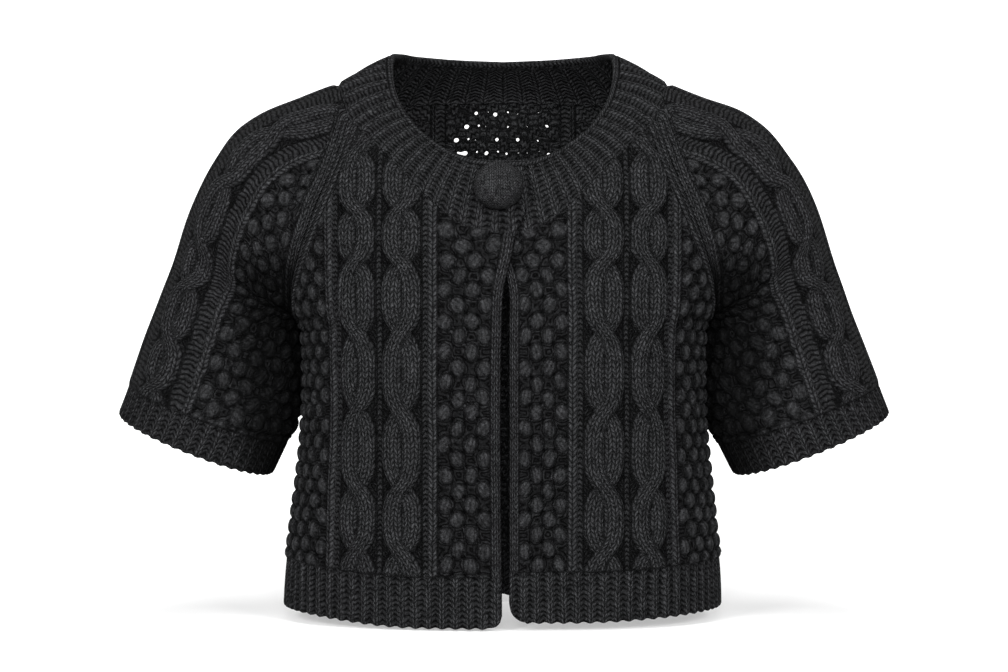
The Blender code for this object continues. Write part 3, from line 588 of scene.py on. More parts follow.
def round_holes(mesh, at, rows, columns):
    """Draws the borders of holes in a grid round."""
    corners = face_corners(mesh)
    sides = np.sort(np.stack((corners, np.roll(corners, 1, axis=1)), axis=-1).reshape(-1, 2))
    sides, uses = np.unique(sides, axis=0, return_counts=True)
    rim = sides[uses == 1]
    last = np.array((rows - 1, columns - 1))
    moves = np.zeros(len(at), bool)
    moves[rim] = True
    moves &= ((at > 0) & (at < last)).all(axis=1)
    for _ in range(3):
        total, count = at.copy(), np.ones((len(at), 1))
        for a, b in (rim.T, rim.T[::-1]):
            np.add.at(total, a, at[b])
            np.add.at(count, a, 1)
        at = np.where(moves[:, None], total / count, at)
    return at


def between(values, at):
    """Values of a grid at places between its points."""
    i, j = np.minimum(at.astype(int), np.array(values.shape[:2]) - 2).T
    a, b = (at.T - (i, j))[..., None]
    low = values[i, j] * (1 - b) + values[i, j + 1] * b
    return low * (1 - a) + (values[i + 1, j] * (1 - b) + values[i + 1, j + 1] * b) * a


def panel(name, inside, ways, stitches, free, closed=None):
    """A wall of knit as one closed mesh, over a grid of points that lie inside the cloth.

    Ways are the directions of its thickness, and free is each point's distance from a free
    edge, where the wall is rounded off. Closed is False at the points of small holes.
    """
    rows, columns = inside.shape[:2]
    bpy.ops.object.select_all(action="DESELECT")
    bpy.ops.mesh.primitive_grid_add(x_subdivisions=columns - 1, y_subdivisions=rows - 1, size=2)
    made = bpy.context.object
    made.name = made.data.name = name
    mesh = made.data
    at = grid_places(mesh, rows, columns)
    if closed is not None:
        i, j = at.astype(int).T
        shut = closed[i, j][face_corners(mesh)].any(axis=1)
        bpy.ops.object.mode_set(mode="EDIT")
        bpy.ops.mesh.select_mode(type="FACE")
        bpy.ops.mesh.select_all(action="DESELECT")
        bpy.ops.object.mode_set(mode="OBJECT")
        mesh.polygons.foreach_set("select", ~shut)
        bpy.ops.object.mode_set(mode="EDIT")
        bpy.ops.mesh.delete(type="FACE")
        bpy.ops.object.mode_set(mode="OBJECT")
        at = round_holes(mesh, grid_places(mesh, rows, columns), rows, columns)
    thick = np.sqrt(1 - (1 - (free / 2.8).clip(0, 1)) ** 2)
    outer = (WALL + stitches["height"]) * (0.56 + 0.44 * thick)
    inner = WALL * 0.44 * (1 - thick) - stitches["inner"] * thick
    fields = {
        "outside": inside + ways * outer[..., None],
        "lining": inside + ways * inner[..., None],
        "stitch": np.stack([stitches[key] for key in ("u", "v", "painted_shade")], axis=-1),
        "kind": np.stack([stitches[key] for key in ("purl", "bobble", "gap")], axis=-1),
    }
    for field, values in fields.items():
        values = between(values, at).astype(np.float32)
        attribute = mesh.attributes.new(field, "FLOAT_VECTOR", "POINT")
        attribute.data.foreach_set("vector", values.ravel())
    count = len(mesh.vertices)
    wall = made.modifiers.new("wall", "SOLIDIFY")
    wall.thickness, wall.offset = 0.01, -1
    bpy.ops.object.modifier_apply(modifier="wall")
    values = {}
    for field in fields:
        values[field] = np.empty(len(mesh.vertices) * 3, np.float32)
        mesh.attributes[field].data.foreach_get("vector", values[field])
        values[field] = values[field].reshape(-1, 3)
    values["outside"][count:] = values["lining"][count:]
    mesh.vertices.foreach_set("co", (values["outside"] * MM).ravel())
    values["kind"][count:, 0] = 1 - values["kind"][count:, 0]  # knit shows as purl from inside
    values["kind"][count:, 1] = 0
    # Inside, the painted shade turns over: darker behind the ridges than behind the grooves.
    values["stitch"][count:, 2] = 0.3 - 0.3 * values["stitch"][count:, 2]  # and ridges as grooves
    for field in ("kind", "stitch"):
        mesh.attributes[field].data.foreach_set("vector", values[field].ravel())
    for field in ("outside", "lining"):
        mesh.attributes.remove(mesh.attributes[field])
    bpy.ops.object.mode_set(mode="EDIT")
    bpy.ops.mesh.select_all(action="SELECT")
    bpy.ops.mesh.normals_make_consistent(inside=False)
    bpy.ops.object.mode_set(mode="OBJECT")
    bpy.ops.object.shade_smooth()
    mesh.materials.append(YARN)
    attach(made, "root")
    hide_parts(name)
    return made


def facing_of(inside, turn):
    """The way that a grid of points faces."""
    return unit(np.cross(np.gradient(inside, axis=1), np.gradient(inside, axis=0))) * turn


# The sleeve, inside the cloth: its ridge and its underarm seam from the neckband (along 0) past
# the underarm (along 1) to the cuff (along 2), how far it runs level from the ridge, and the
# direction in which it leaves its other edge
SLEEVE = np.array(
    (
        (0.00, 126.0, -32.0, 158.5, -205, 26, 6, -14, 14),
        (0.16, 155.2, -43.0, 158.5, -205, 40, 14, -8, 14),
        (0.33, 186.2, -55.1, 158.5, -205, 52, 20, 2, 14),
        (0.43, 202.1, -66.0, 158.5, -205, 58, 22, 6, 12),
        (0.585, 219.8, -89.8, 158.5, -205, 65, 25, 14, 7),
        (0.79, 237.9, -125.8, 158.5, -205, 72, 22, 36, -1),
        (0.90, 245.5, -145.0, 158.5, -205, 74, 22, 50, -5),
        (1.00, 252.0, -163.4, 158.5, -205, 76, 18, 84, -5),
        (1.06, 254.4, -170.8, 161.4, -209, 76, 13, 88, -4),
        (1.15, 258.2, -182.0, 161.0, -218, 77, 8, 86, -1),
        (1.30, 264.4, -200.6, 160.0, -239, 78, 4, 82, 0),
        (1.50, 273.5, -225.0, 160.4, -266, 79, 0, 79, 0),
        (1.70, 281.8, -249.0, 165.6, -289, 80, 0, 80, 0),
        (1.85, 288.0, -266.5, 175.0, -309, 80, 0, 80, 0),
        (2.00, 294.8, -283.5, 184.0, -327.5, 80, 0, 80, 0),
    )
)
CUFF_TILT = 7.0  # how far the cuff hangs lower in front of its ridge, and higher behind it
UNDERARM_SOFT = {"rounds": 160, "reach": 26.0}  # of the smoothing round the underarm's fold
ALONG = np.linspace(2, 0, 161)
UP = lengths(np.stack([read(SLEEVE, 1, ALONG), 0 * ALONG, read(SLEEVE, 2, ALONG)], axis=1))
SLEEVE_LENGTH = UP[-1]
UNDERARM_UP = float(np.interp(-1, -ALONG, UP))


def sleeve_arcs(facing, hand, t):
    """Half rings of the sleeve from its ridge to a seam, one for each t up from the cuff."""
    along = np.interp(t, UP, ALONG)
    ridge_x, ridge_z, under_x, under_z, crown, lead_x, lead_y, lead_z = (
        read(SLEEVE, i, along) for i in range(1, 9)
    )
    droop = CUFF_TILT * ease(1.0, 2.0, along)
    seam = body_place(facing, hand, *raglan(facing, hand, along))
    under = np.stack((hand * under_x, 0 * along, under_z), axis=1)
    end = np.where(along[:, None] < 1, seam, under)
    ridge = np.stack((hand * ridge_x, 0 * along, ridge_z), axis=1)
    level = ridge + facing * np.stack((0 * along, crown, droop), axis=1)
    lead = end + np.stack((hand * lead_x, facing * lead_y, lead_z + facing * droop), axis=1)
    ridge, level, lead, end = (x[:, None] for x in (ridge, level, lead, end))
    u = np.linspace(0, 1, 90)[None, :, None]
    return (
        ridge * (1 - u) ** 3
        + level * 3 * u * (1 - u) ** 2
        + lead * 3 * u * u * (1 - u)
        + end * u**3
    )


def sleeve_grid(hand, shares, t):
    """Points of the sleeve: shares of the way round from its ridge, to the front if above 0."""
    points, around = [], []
    for front, back in zip(sleeve_arcs(FRONT, hand, t), sleeve_arcs(BACK, hand, t)):
        forward, backward = lengths(front)[-1], lengths(back)[-1]
        s = np.where(shares >= 0, shares * forward, shares * backward)
        ahead, behind = along_line(front, s.clip(0)), along_line(back, (-s).clip(0))
        points.append(np.where(shares[:, None] >= 0, ahead, behind))
        around.append(s)
    return np.array(points), np.array(around)


SLEEVE_SHARES = np.linspace(-1, 1, 171)
SLEEVE_ROWS = np.linspace(0, SLEEVE_LENGTH, 206)
SLEEVES = {hand: sleeve_grid(hand, SLEEVE_SHARES, SLEEVE_ROWS) for hand in (RIGHT, LEFT)}
for points, around in SLEEVES.values():  # the fold at the underarm is drawn soft
    soft = points.copy()
    for _ in range(UNDERARM_SOFT["rounds"]):
        middle = soft[1:-1, 1:-1]
        beside = soft[:-2, 1:-1] + soft[2:, 1:-1] + soft[1:-1, :-2] + soft[1:-1, 2:]
        soft[1:-1, 1:-1] = middle + 0.2 * (beside - 4 * middle)
    share = np.exp(-(((SLEEVE_ROWS - UNDERARM_UP) / UNDERARM_SOFT["reach"]) ** 2))
    points += (soft - points) * share[:, None, None]
    middle = SLEEVE_SHARES.size // 2
    for side in (slice(middle, None), slice(middle, None, -1)):  # and measured again
        steps = np.linalg.norm(np.diff(points[:, side], axis=1), axis=2)
        around[:, side] = np.cumsum(np.pad(steps, ((0, 0), (1, 0))), axis=1)
    around[:, :middle] *= -1
SLEEVE_WAYS = {hand: facing_of(SLEEVES[hand][0], -hand) for hand in (RIGHT, LEFT)}

# The neckband: ribs counted from the middle of the front, and its free edge by shares of them
NECK_RIBS = {"front": 13, "sleeve": 8, "back": 14}
RIBS_ROUND = 28.0
FRONT_CORNER, BACK_CORNER = 13, 21  # the ribs at the tops of the raglans
BAND_RIB = 12.0
BAND_DEPTH = 50.0
BAND_BULGE = 2.5
BAND_END_LEAN = 1.5
NECK_EDGE = np.array(
    (
        (0.00, 0, -84, -94),
        (0.12, 25, -82, -92),
        (0.24, 47, -73, -83),
        (0.36, 69, -53, -64),
        (0.46, 81, -30, -42),
        (0.55, 85, -8, -22),
        (0.62, 84, 10, -8),
        (0.70, 78, 28, -4),
        (0.78, 65, 43, -4),
        (0.88, 38, 57, -5),
        (1.00, 0, 64, -6),
    )
)


def neck_seam(facing, hand, rib):
    run, s, z = NECK_LINES[facing, hand]
    at = rib * run[-1] / (NECK_RIBS["front"] if facing == FRONT else NECK_RIBS["back"] / 2)
    return np.where(at < 0, at, np.interp(at, run, s)), np.interp(at, run, z)


def band_foot(hand, rib):
    """Where ribs of the neckband are sewn on, and which way those panels face there."""
    points, ways = np.zeros((2, len(rib), 3))
    for facing, at in ((FRONT, rib <= FRONT_CORNER), (BACK, rib >= BACK_CORNER)):
        s, t = neck_seam(facing, hand, rib[at] if facing == FRONT else RIBS_ROUND - rib[at])
        points[at], ways[at] = body_place(facing, hand, s, t), body_out(facing, hand, s, t)
    at = (rib > FRONT_CORNER) & (rib < BACK_CORNER)
    around = SLEEVES[hand][1][-1]
    s = around[-1] - (rib[at] - FRONT_CORNER) / NECK_RIBS["sleeve"] * (around[-1] - around[0])
    for found, grid in ((points, SLEEVES[hand][0]), (ways, SLEEVE_WAYS[hand])):
        found[at] = np.stack([np.interp(s, around, grid[-1, :, i]) for i in range(3)], axis=1)
    return points, ways


def band_lines(hand):
    """Half of the neckband by its ribs: its foot, and its free edge."""
    rib = np.arange(-4, RIBS_ROUND + 0.01, 0.125)
    share = abs(rib) / RIBS_ROUND
    x, y, z = (read(NECK_EDGE, i, share) for i in (1, 2, 3))
    x = x * hand * np.where(rib < 0, -1, 1)
    y = y + lap(hand, x, z) * ease(0.46, 0.2, share)
    return rib, band_foot(hand, rib)[0], np.stack((x, y, z), axis=1)


BAND_LINES = {hand: band_lines(hand) for hand in (RIGHT, LEFT)}


def band_point(s, t):
    """Points of the neckband: s round it, from the middle of the back, and t up from its seam."""
    s, t = np.broadcast_arrays(np.asarray(s, float), np.asarray(t, float))
    found = np.zeros((*s.shape, 3))
    for hand in (RIGHT, LEFT):
        rib, foot, edge = BAND_LINES[hand]
        at = RIBS_ROUND - abs(s) / BAND_RIB
        low, high = (
            np.stack([np.interp(at, rib, line[:, i]) for i in range(3)], axis=-1)
            for line in (foot, edge)
        )
        up = (t / BAND_DEPTH)[..., None]
        out = (low + high) * (1, 1.4, 0) + (0, 0, 160)
        points = low + (high - low) * up + unit(out) * BAND_BULGE * 4 * up * (1 - up)
        found = np.where(((s >= 0) == (hand == LEFT))[..., None], points, found)
    return found


def band_out(s, t, reach=BAND_RIB / 2):
    across = band_point(s + reach, t) - band_point(s - reach, t)
    up = band_point(s, np.minimum(t + 3, BAND_DEPTH)) - band_point(s, np.maximum(t - 3, 0))
    return -unit(np.cross(across, up))


# Each seam is a line of points, the ways that its wall takes, and the distance along it. Near a
# corner, where more than two panels meet, the ways turn to one that they all share.


def seam(points, ways, *corners):
    for corner, way in corners:
        share = (1 - np.linalg.norm(points - corner, axis=1) / CORNER_REACH).clip(0, 1)[:, None]
        ways = ways + (way - ways) * share
    run = lengths(points)
    fine = np.linspace(0, run[-1], int(run[-1] / 0.6))
    ways = np.stack([np.interp(fine, run, ways[:, i]) for i in range(3)], axis=1)
    return along_line(points, fine), ways, fine


SEAMS = {}
for hand in (RIGHT, LEFT):
    heights = np.linspace(HEM, UNDERARM, 120)
    sides = {facing: side_of(facing, heights) for facing in (FRONT, BACK)}
    side_ways = mitre(*(body_out(facing, hand, sides[facing], heights) for facing in sides))
    side_points = body_place(BACK, hand, sides[BACK], heights)
    rows = SLEEVE_ROWS <= UNDERARM_UP
    under_ways = unit(SLEEVE_WAYS[hand][rows, -1] * (1, 0, 1))
    under_points = np.vstack((SLEEVES[hand][0][rows, -1], side_points[-1:]))
    armpit = (side_points[-1], mitre(side_ways[-1], under_ways[-1]))
    SEAMS["side", hand] = seam(side_points, side_ways, armpit)
    SEAMS["under", hand] = seam(under_points, np.vstack((under_ways, armpit[1])), armpit)
    rib = BAND_LINES[hand][0]
    foot, foot_ways = band_foot(hand, rib)
    neck_ways = mitre(foot_ways, band_out(hand * (RIBS_ROUND - rib) * BAND_RIB, 1.0))
    corners = []
    for facing, column, corner_rib in ((FRONT, -1, FRONT_CORNER), (BACK, 0, BACK_CORNER)):
        rows = SLEEVE_ROWS > UNDERARM_UP
        points = SLEEVES[hand][0][rows, column]
        sleeve_ways = SLEEVE_WAYS[hand][rows, column]
        share = np.interp(SLEEVE_ROWS[rows], UP, ALONG)
        body_ways = body_out(facing, hand, *raglan(facing, hand, share))
        band_way = band_out(hand * (RIBS_ROUND - corner_rib) * BAND_RIB, 1.0)
        corner = (points[-1], mitre(body_ways[-1], sleeve_ways[-1], band_way))
        corners.append(corner)
        SEAMS["raglan", facing, hand] = seam(points, mitre(body_ways, sleeve_ways), armpit, corner)
    SEAMS["neck", hand] = seam(foot, neck_ways, *corners)


def near(points, line):
    """How far a seam is from each point, with the seam's way and the run along it there."""
    tree = KDTree(len(line[0]))
    for i, point in enumerate(line[0]):
        tree.insert(point, i)
    tree.balance()
    found = np.array([tree.find(point)[1:] for point in points.reshape(-1, 3)])
    shape = points.shape[:2]
    index = found[:, 0].astype(int).reshape(shape)
    return found[:, 1].reshape(shape), line[1][index], line[2][index]


def sewn(inside, turn, seams):
    """The ways that a grid of points faces, turned near seams to those that neighbours share."""
    total, weight, distances = facing_of(inside, turn) * 0.1, 0.1, []
    for key in seams:
        distance, way, run = near(inside, SEAMS[key])
        share = (1 - distance / 10).clip(0, 1) ** 2 / (distance + 0.15)
        total = total + way * share[..., None]
        weight = weight + share
        distances.append((distance, run))
    return total / weight[..., None], distances


def picked_up(stitches, distance, reach):
    """Stitches that run level into the neckband's seam, whose edge is thick inside."""
    stitches["height"] = NECK_LEVEL + (stitches["height"] - NECK_LEVEL) * ease(0, reach, distance)
    stitches["inner"] = stitches["inner"] + 1.6 * (1 - ease(0, 4.5, distance))


def finished(stitches, inside, raglans, others, neck):
    """Stitches with two knit columns beside each raglan seam, level at the neckband's seam."""
    for distance, run in raglans:
        weight = ease(2 * SEAM_BAND, 2 * SEAM_BAND + 3, distance)
        stitches = mixed(seam_stitches(distance, run), stitches, weight)
    # Beside the other seams the stitches sink, and painted shade darkens the colour.
    for distance, _ in others:
        stitches["height"] = stitches["height"] * ease(0, 5, distance)
        stitches["painted_shade"] = np.maximum(stitches["painted_shade"], 0.8 * (1 - ease(0.2, 1.8, distance)))
    picked_up(stitches, neck[0], 4)
    nearest = np.minimum.reduce([distance for distance, _ in (*raglans, *others, neck)])
    stitches["height"] = stitches["height"] + swell(inside) * ease(0, 9, nearest)
    return stitches


# The distance up the cloth at each height, counted so that both are the same at LEVEL
LEVEL = -300
RISES = {}
for facing in (FRONT, BACK):
    t = np.arange(-445.0, -20.0, 2.0)
    run = lengths(body_place(facing, LEFT, 60.0, t))
    RISES[facing] = (t, run - np.interp(LEVEL, t, run) + LEVEL)


def half_panel(facing, hand, marks, steps):
    """Columns out to the raglan's top, and by steps on to the side; how high each one reaches."""
    crest = marks[-1]
    raglan_s, raglan_t = RAGLANS[facing, hand][1:]
    neck_s, neck_t = NECK_LINES[facing, hand][1:]
    q = np.concatenate((marks, crest + (raglan_s[-1] - crest) * steps))
    top = np.where(q <= crest, np.interp(q, neck_s, neck_t), np.interp(q, raglan_s, raglan_t))
    top[-1] = UNDERARM
    return q, top


def body_stitches(facing, chart, s, q, t, hem, signed=None):
    rise = np.interp(t, *RISES[facing])
    found = chart_stitches(chart, BODY_CROSSINGS, q, t, rise, signed)
    ribs = rib_stitches(s, t, HEM_PITCH)
    return mixed(ribs, found, ease(HEM_RIB - 3, HEM_RIB + 1.5, t - hem))


def add_front(name, hand):
    crest, corner = RAGLANS[FRONT, hand][1][0], HEM_CORNER[hand]
    marks = np.linspace(0, crest, 84)
    steps = np.linspace(0, 1, 71)[1:]
    q, top = half_panel(FRONT, hand, marks, steps)
    foot = hem_height(FRONT, hand, q)
    round_off = corner - np.sqrt((corner**2 - (corner - q.clip(0, corner)) ** 2).clip(0))
    rows = np.linspace(0, 1, 226)[:, None]
    low = foot + round_off - ribbed_edge(q, HEM_PITCH) * (q > corner)
    t = low + (top - SEAM_GAP - low) * rows
    first = front_edge(hand, t)
    side = side_of(FRONT, np.minimum(t, UNDERARM)) - SEAM_GAP
    s = np.where(
        q <= crest,
        q + first * (1 - q / 45).clip(0),
        crest + (side - crest) * np.concatenate((0 * marks, steps)),
    )
    q = np.where(q <= crest, q, s)
    inside = body_place(FRONT, hand, s, t)
    seams = ("raglan", FRONT, hand), ("side", hand), ("neck", hand)
    ways, (raglan_near, side_near, neck_near) = sewn(inside, -FRONT * hand, seams)
    stitches = body_stitches(FRONT, FRONT_CHART, s, q, t, foot)
    stitches = finished(stitches, inside, [raglan_near], [side_near], neck_near)
    return panel(name, inside, ways, stitches, np.minimum(s - first, t - low))


for name, hand in (("right_front", RIGHT), ("left_front", LEFT)):
    made = add_front(name, hand)

# ---- The back -------------------------------------------------------------------------------
# One piece from side seam to side seam, knitted as the fronts are, with a wider bobble panel in
# the middle. The bobbles pull the loose ground between them open, and light comes through.

BACK_CHART = (
    ("bobbles", 12), ("column", 2), ("purl", 1), ("cable", 8), ("purl", 1),
    ("cable", 8), ("purl", 1), ("column", 2), ("bobbles", 60),
)
# Light comes through pits that are open this far, in the upper middle under the neckband
HOLES = {"open": 0.62, "half_width": 44.0, "lowest": -150.0, "below_band": 6.0}


def add_back(name):
    crest = RAGLANS[BACK, LEFT][1][0]
    marks = np.concatenate((np.linspace(0, 48, 35), np.linspace(48, crest, 31)[1:]))
    steps = np.linspace(0, 1, 49)[1:]
    half, top = half_panel(BACK, LEFT, marks, steps)
    shares = np.concatenate((0 * marks, steps))
    half, top, shares = (
        np.concatenate((sign * x[:0:-1], x)) for x, sign in ((half, -1), (top, 1), (shares, 1))
    )
    foot = hem_height(BACK, LEFT, half)
    low = foot - ribbed_edge(half, HEM_PITCH)
    fine = np.concatenate((np.linspace(0, 0.7, 126), np.linspace(0.7, 1, 80)[1:]))[:, None]
    t = low + (top - SEAM_GAP - low) * fine
    side = side_of(BACK, np.minimum(t, UNDERARM)) - SEAM_GAP
    s = np.where(shares > 0, np.sign(half) * (crest + (side - crest) * shares), half)
    inside = body_place(BACK, LEFT, s, t)
    seams = [("raglan", BACK, RIGHT), ("raglan", BACK, LEFT)]
    seams += [(kind, hand) for kind in ("side", "neck") for hand in (RIGHT, LEFT)]
    ways, found = sewn(inside, -BACK * LEFT, seams)
    (right, _), (left, _) = found[4:]
    neck = (np.minimum(right, left), None)
    stitches = body_stitches(BACK, BACK_CHART, s, abs(s), t, foot, signed=s)
    stitches = finished(stitches, inside, found[:2], found[2:4], neck)
    middle = (abs(s) < HOLES["half_width"]) & (t > HOLES["lowest"])
    open_at = (stitches["gap"] > HOLES["open"]) & middle & (neck[0] > HOLES["below_band"])
    return panel(name, inside, ways, stitches, t - low, closed=~open_at)


made = add_back("back")

# ---- The two sleeves ------------------------------------------------------------------------
# Each short raglan sleeve is knitted from its ribbed cuff up, with two cables down its top line
# and bobbles round its sides, and is sewn to itself along the underarm.

CUFF_RIB = 25.0
CUFF_PITCH = 9.0
SLEEVE_CHART = (
    ("column", 2), ("purl", 8), ("cable", 8), ("purl", 3), ("column", 2), ("bobbles", 70),
)
SLEEVE_CROSSINGS = (-6, 33, 72, 114, 158, 208, 262, 316, 370)
# The armpit's shadow is painted into the colour: how far out from the middle it ends, and how far
# down it begins
ARMPIT_ENDS, ARMPIT_BEGINS = (184, 218), (148, 178)


def add_sleeve(name, hand):
    inside, s = SLEEVES[hand]
    q = s[0] - s[0, 0]
    pitch = q[-1] / round(q[-1] / CUFF_PITCH)
    rows = SLEEVE_ROWS[:, None]
    rows = rows - ribbed_edge(q, pitch) * (1 - rows / 12).clip(0)
    down = inside[0] - inside[1]
    inside = inside + unit(down) * (SLEEVE_ROWS[:, None] - rows)[..., None]
    inset = SEAM_GAP * np.sign(SLEEVE_SHARES) * (abs(SLEEVE_SHARES) == 1)
    inside = inside - inset[None, :, None] * unit(np.gradient(inside, axis=1))
    inside[-1] -= SEAM_GAP * unit(inside[-1] - inside[-2])
    seams = ("raglan", FRONT, hand), ("raglan", BACK, hand), ("under", hand), ("neck", hand)
    ways, found = sewn(inside, -hand, seams)
    t = np.broadcast_to(SLEEVE_ROWS[:, None], s.shape)
    stitches = chart_stitches(SLEEVE_CHART, SLEEVE_CROSSINGS, abs(s), t, t)
    ribs = rib_stitches(np.broadcast_to(q, s.shape), t, pitch)
    stitches = mixed(ribs, stitches, ease(CUFF_RIB - 3, CUFF_RIB + 1.5, t))
    stitches = finished(stitches, inside, found[:2], found[2:3], found[3])
    out, down = abs(inside[..., 0]), -inside[..., 2]
    # Painted shadow, where the body shades the inner side of the sleeve.
    armpit_shade = (1 - ease(*ARMPIT_ENDS, out)) * ease(*ARMPIT_BEGINS, down)
    stitches["painted_shade"] = stitches["painted_shade"] + (1 - stitches["painted_shade"]) * armpit_shade
    return panel(name, inside, ways, stitches, t)


for name, hand in (("right_sleeve", RIGHT), ("left_sleeve", LEFT)):
    made = add_sleeve(name, hand)

# ---- The neckband ---------------------------------------------------------------------------
# One deep ribbed strip, picked up round the neck and worked upwards. Its right end laps over its
# left end in front, under the button.

CHAIN = 5  # width of the bound-off chain along its free edge


def add_neckband(name):
    t = np.linspace(SEAM_GAP, BAND_DEPTH, 41)[:, None]
    ends = {}
    for hand in (RIGHT, LEFT):
        run = NECK_LINES[FRONT, hand][0][-1] / NECK_RIBS["front"]
        first = front_edge(hand, NECK_SEAM[FRONT][0, 1]) / run
        rib = first - BAND_END_LEAN * np.sin(t / BAND_DEPTH * np.pi / 2)
        ends[hand] = hand * (RIBS_ROUND - rib) * BAND_RIB
    marks = np.linspace(ends[RIGHT][0, 0], ends[LEFT][0, 0], 501)
    s = marks + sum(
        (end - end[0]) * (1 - abs(marks - end[0]) / 70).clip(0) for end in ends.values()
    )
    t = np.broadcast_to(t, s.shape)
    inside = band_point(s, t)
    ways, _ = sewn(inside, -1, [("neck", RIGHT), ("neck", LEFT)])
    stitches = rib_stitches(s, t, BAND_RIB, 3.0)
    from_edge = BAND_DEPTH - t
    # Painted shade darkens the lower edge of the chain.
    chain = {
        "height": 2.4 * np.sin(np.pi * (from_edge / CHAIN).clip(0, 1)) ** 0.5,
        "u": from_edge / CHAIN,
        "v": s / ROW,
        "painted_shade": 0.5 * ease(CHAIN - 1, CHAIN, from_edge),
    }
    stitches = mixed(chain, stitches, ease(4.5, 6.5, from_edge))
    picked_up(stitches, t, 5)
    free = np.minimum.reduce((s - ends[RIGHT], ends[LEFT] - s, from_edge))
    return panel(name, inside, ways, stitches, free)


made = add_neckband("neckband")

# ---- The button -----------------------------------------------------------------------------
# A big domed button covered in fine charcoal knit, stretched smooth at the rim, and sewn by its
# shank to the under end of the neckband, through a buttonhole in the top end.

BUTTON_RIB, BUTTON_UP = 0.35, 28.5  # its place on the band: ribs from the middle, and height
BUTTON_RADIUS = 18.4
BUTTON_THICKNESS = 23.5
BUTTON_RIM = 6.0
BUTTON_OFF = 5.5  # from inside the band's cloth to the button's back
BUTTON_TILT = (0, -0.45, 0)  # added to the way that the band faces
BUTTON_STITCH = (2.7, 2.5)  # width and height
SHANK_RADIUS = 2.8
SHANK_LENGTH = 6.8

turn = np.linspace(0, math.pi / 2, 40)
sine, cosine = np.sin(turn), np.cos(turn)
dome = (BUTTON_RADIUS * sine, BUTTON_RIM + (BUTTON_THICKNESS - BUTTON_RIM) * cosine)
rim = (BUTTON_RADIUS - BUTTON_RIM * (1 - cosine), BUTTON_RIM * (1 - sine))
under = np.array(((SHANK_RADIUS, SHANK_RADIUS, 0.0), (0.0, -SHANK_LENGTH, -SHANK_LENGTH)))
profile = np.concatenate((dome, rim, under), axis=1)
profile = np.stack((*profile, 0 * profile[0]), axis=1)

bpy.ops.object.select_all(action="DESELECT")
bpy.ops.mesh.primitive_uv_sphere_add(segments=120, ring_count=110, radius=1)
button = bpy.context.object
button.name = button.data.name = "button"
ball = vertex_places(button.data)
run = np.arccos(ball[:, 2].clip(-1, 1)) / math.pi * lengths(profile)[-1]
angle = np.arctan2(ball[:, 1], ball[:, 0])
r, z, _ = along_line(profile, run).T
local = np.stack((r * np.cos(angle), r * np.sin(angle), z), axis=1)
s = -(RIBS_ROUND - BUTTON_RIB) * BAND_RIB
point = band_point(s, BUTTON_UP)
way = unit(unit(band_out(s, BUTTON_UP, reach=BUTTON_RADIUS)) + BUTTON_TILT)
stand = np.array(Vector(way).to_track_quat("Z", "Y").to_matrix())
placed = (point + way * BUTTON_OFF + local @ stand.T) * MM
button.data.vertices.foreach_set("co", placed.ravel())
across, up = run * np.cos(angle), run * np.sin(angle)
wide, high = BUTTON_STITCH
# The third part is painted shade, which darkens the colour from low on the dome round the rim and
# under it.
stitch = np.stack((across / wide, up / high, ease(22, 34, run)), axis=1)
for field, values in (("stitch", stitch), ("kind", 0 * stitch)):
    attribute = button.data.attributes.new(field, "FLOAT_VECTOR", "POINT")
    attribute.data.foreach_set("vector", values.astype(np.float32).ravel())
button.data.update()
bpy.ops.object.shade_smooth()
button.data.materials.append(knitted("button_knit", (0.0215, 0.0218, 0.0229), 1.2, 0.6))
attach(button, "root")
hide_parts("button")

# ---- The studio -----------------------------------------------------------------------------
# A white paper sweep under and behind the garment, which glows more the further back it is, with
# three soft boxes in front of the garment and one above it.

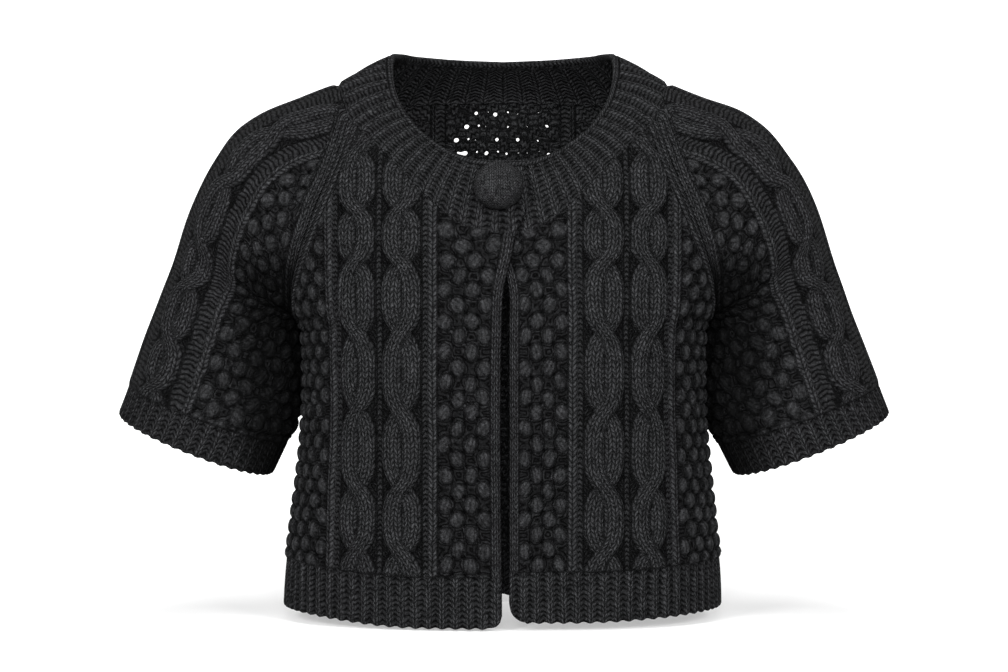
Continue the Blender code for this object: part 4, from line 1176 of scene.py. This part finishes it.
FLOOR = -440.5
SWEEP_LENGTH, SWEEP_WIDTH, SWEEP_AHEAD = 12000, 10000, 5400  # in all, and in front of the middle
WALL_AT, BEND = 3600.0, 800.0  # where the paper stands up, and the radius that it bends in
NEAR_GLOW = 0.42
GLOW_FROM, GLOW_RISE, GLOW_MOST = 0.4, 0.45, 0.6  # in metres back, per metre, and at the wall
AIM = Vector((0, 0, -0.2))
bpy.ops.object.select_all(action="DESELECT")
bpy.ops.mesh.primitive_grid_add(x_subdivisions=1, y_subdivisions=160, size=1)
sweep = bpy.context.object
sweep.name = sweep.data.name = "sweep"
sheet = vertex_places(sweep.data)
out = (sheet[:, 1] + 0.5) * SWEEP_LENGTH - SWEEP_AHEAD
turn = ((out - WALL_AT + BEND) / BEND).clip(0, math.pi / 2)
above = (out - WALL_AT + BEND - BEND * math.pi / 2).clip(0)
sheet[:, 0] *= SWEEP_WIDTH
sheet[:, 1] = np.minimum(out, WALL_AT - BEND) + BEND * np.sin(turn)
sheet[:, 2] = FLOOR + BEND * (1 - np.cos(turn)) + above
sweep.data.vertices.foreach_set("co", (sheet * MM).ravel())
bpy.ops.object.shade_smooth()
paper = bpy.data.materials.new("paper")
paper.use_nodes = True
shader = paper.node_tree.nodes["Principled BSDF"]
shader.inputs["Base Color"].default_value = (0.5, 0.5, 0.5, 1)
shader.inputs["Roughness"].default_value = 1.0
shader.inputs["Emission Strength"].default_value = 1.0
place = Shade(paper.node_tree).node("ShaderNodeTexCoord", out=3)
back = place.node("ShaderNodeSeparateXYZ", place, out=1)
glow = ((back - GLOW_FROM) * GLOW_RISE).sum("MAXIMUM", 0.0).sum("MINIMUM", GLOW_MOST) + NEAR_GLOW
glow = place.node("ShaderNodeVectorMath", (1, 1, 1), operation="SCALE", Scale=glow)
glow.feed(shader, "Emission Color")
sweep.data.materials.append(paper)

world = bpy.data.worlds.new("studio")
bpy.context.scene.world = world
world.use_nodes = True
world.node_tree.nodes["Background"].inputs["Color"].default_value = (1, 1, 1, 1)
world.node_tree.nodes["Background"].inputs["Strength"].default_value = 0.1

for name, place, size, power in (
    ("key", (-1.3, -2.1, 0.8), 0.8, 58),
    ("fill", (1.3, -2.1, 0.8), 0.8, 50),
    ("front", (0.0, -2.6, 0.2), 0.6, 60),
    ("top", (0.0, -0.6, 2.1), 1.4, 55),
):
    bpy.ops.object.light_add(type="AREA", location=place)
    lamp = bpy.context.object
    lamp.name = lamp.data.name = name
    lamp.data.size = size
    lamp.data.energy = power
    lamp.rotation_euler = (AIM - lamp.location).to_track_quat("-Z", "Y").to_euler()

bpy.ops.object.camera_add(location=(0.0008, -2.0, -0.223), rotation=(math.pi / 2, 0, 0))
camera = bpy.context.object
camera.data.lens = 91.6
camera.data.sensor_width = 36
bpy.context.scene.camera = camera
bpy.context.scene.view_settings.view_transform = "Standard"
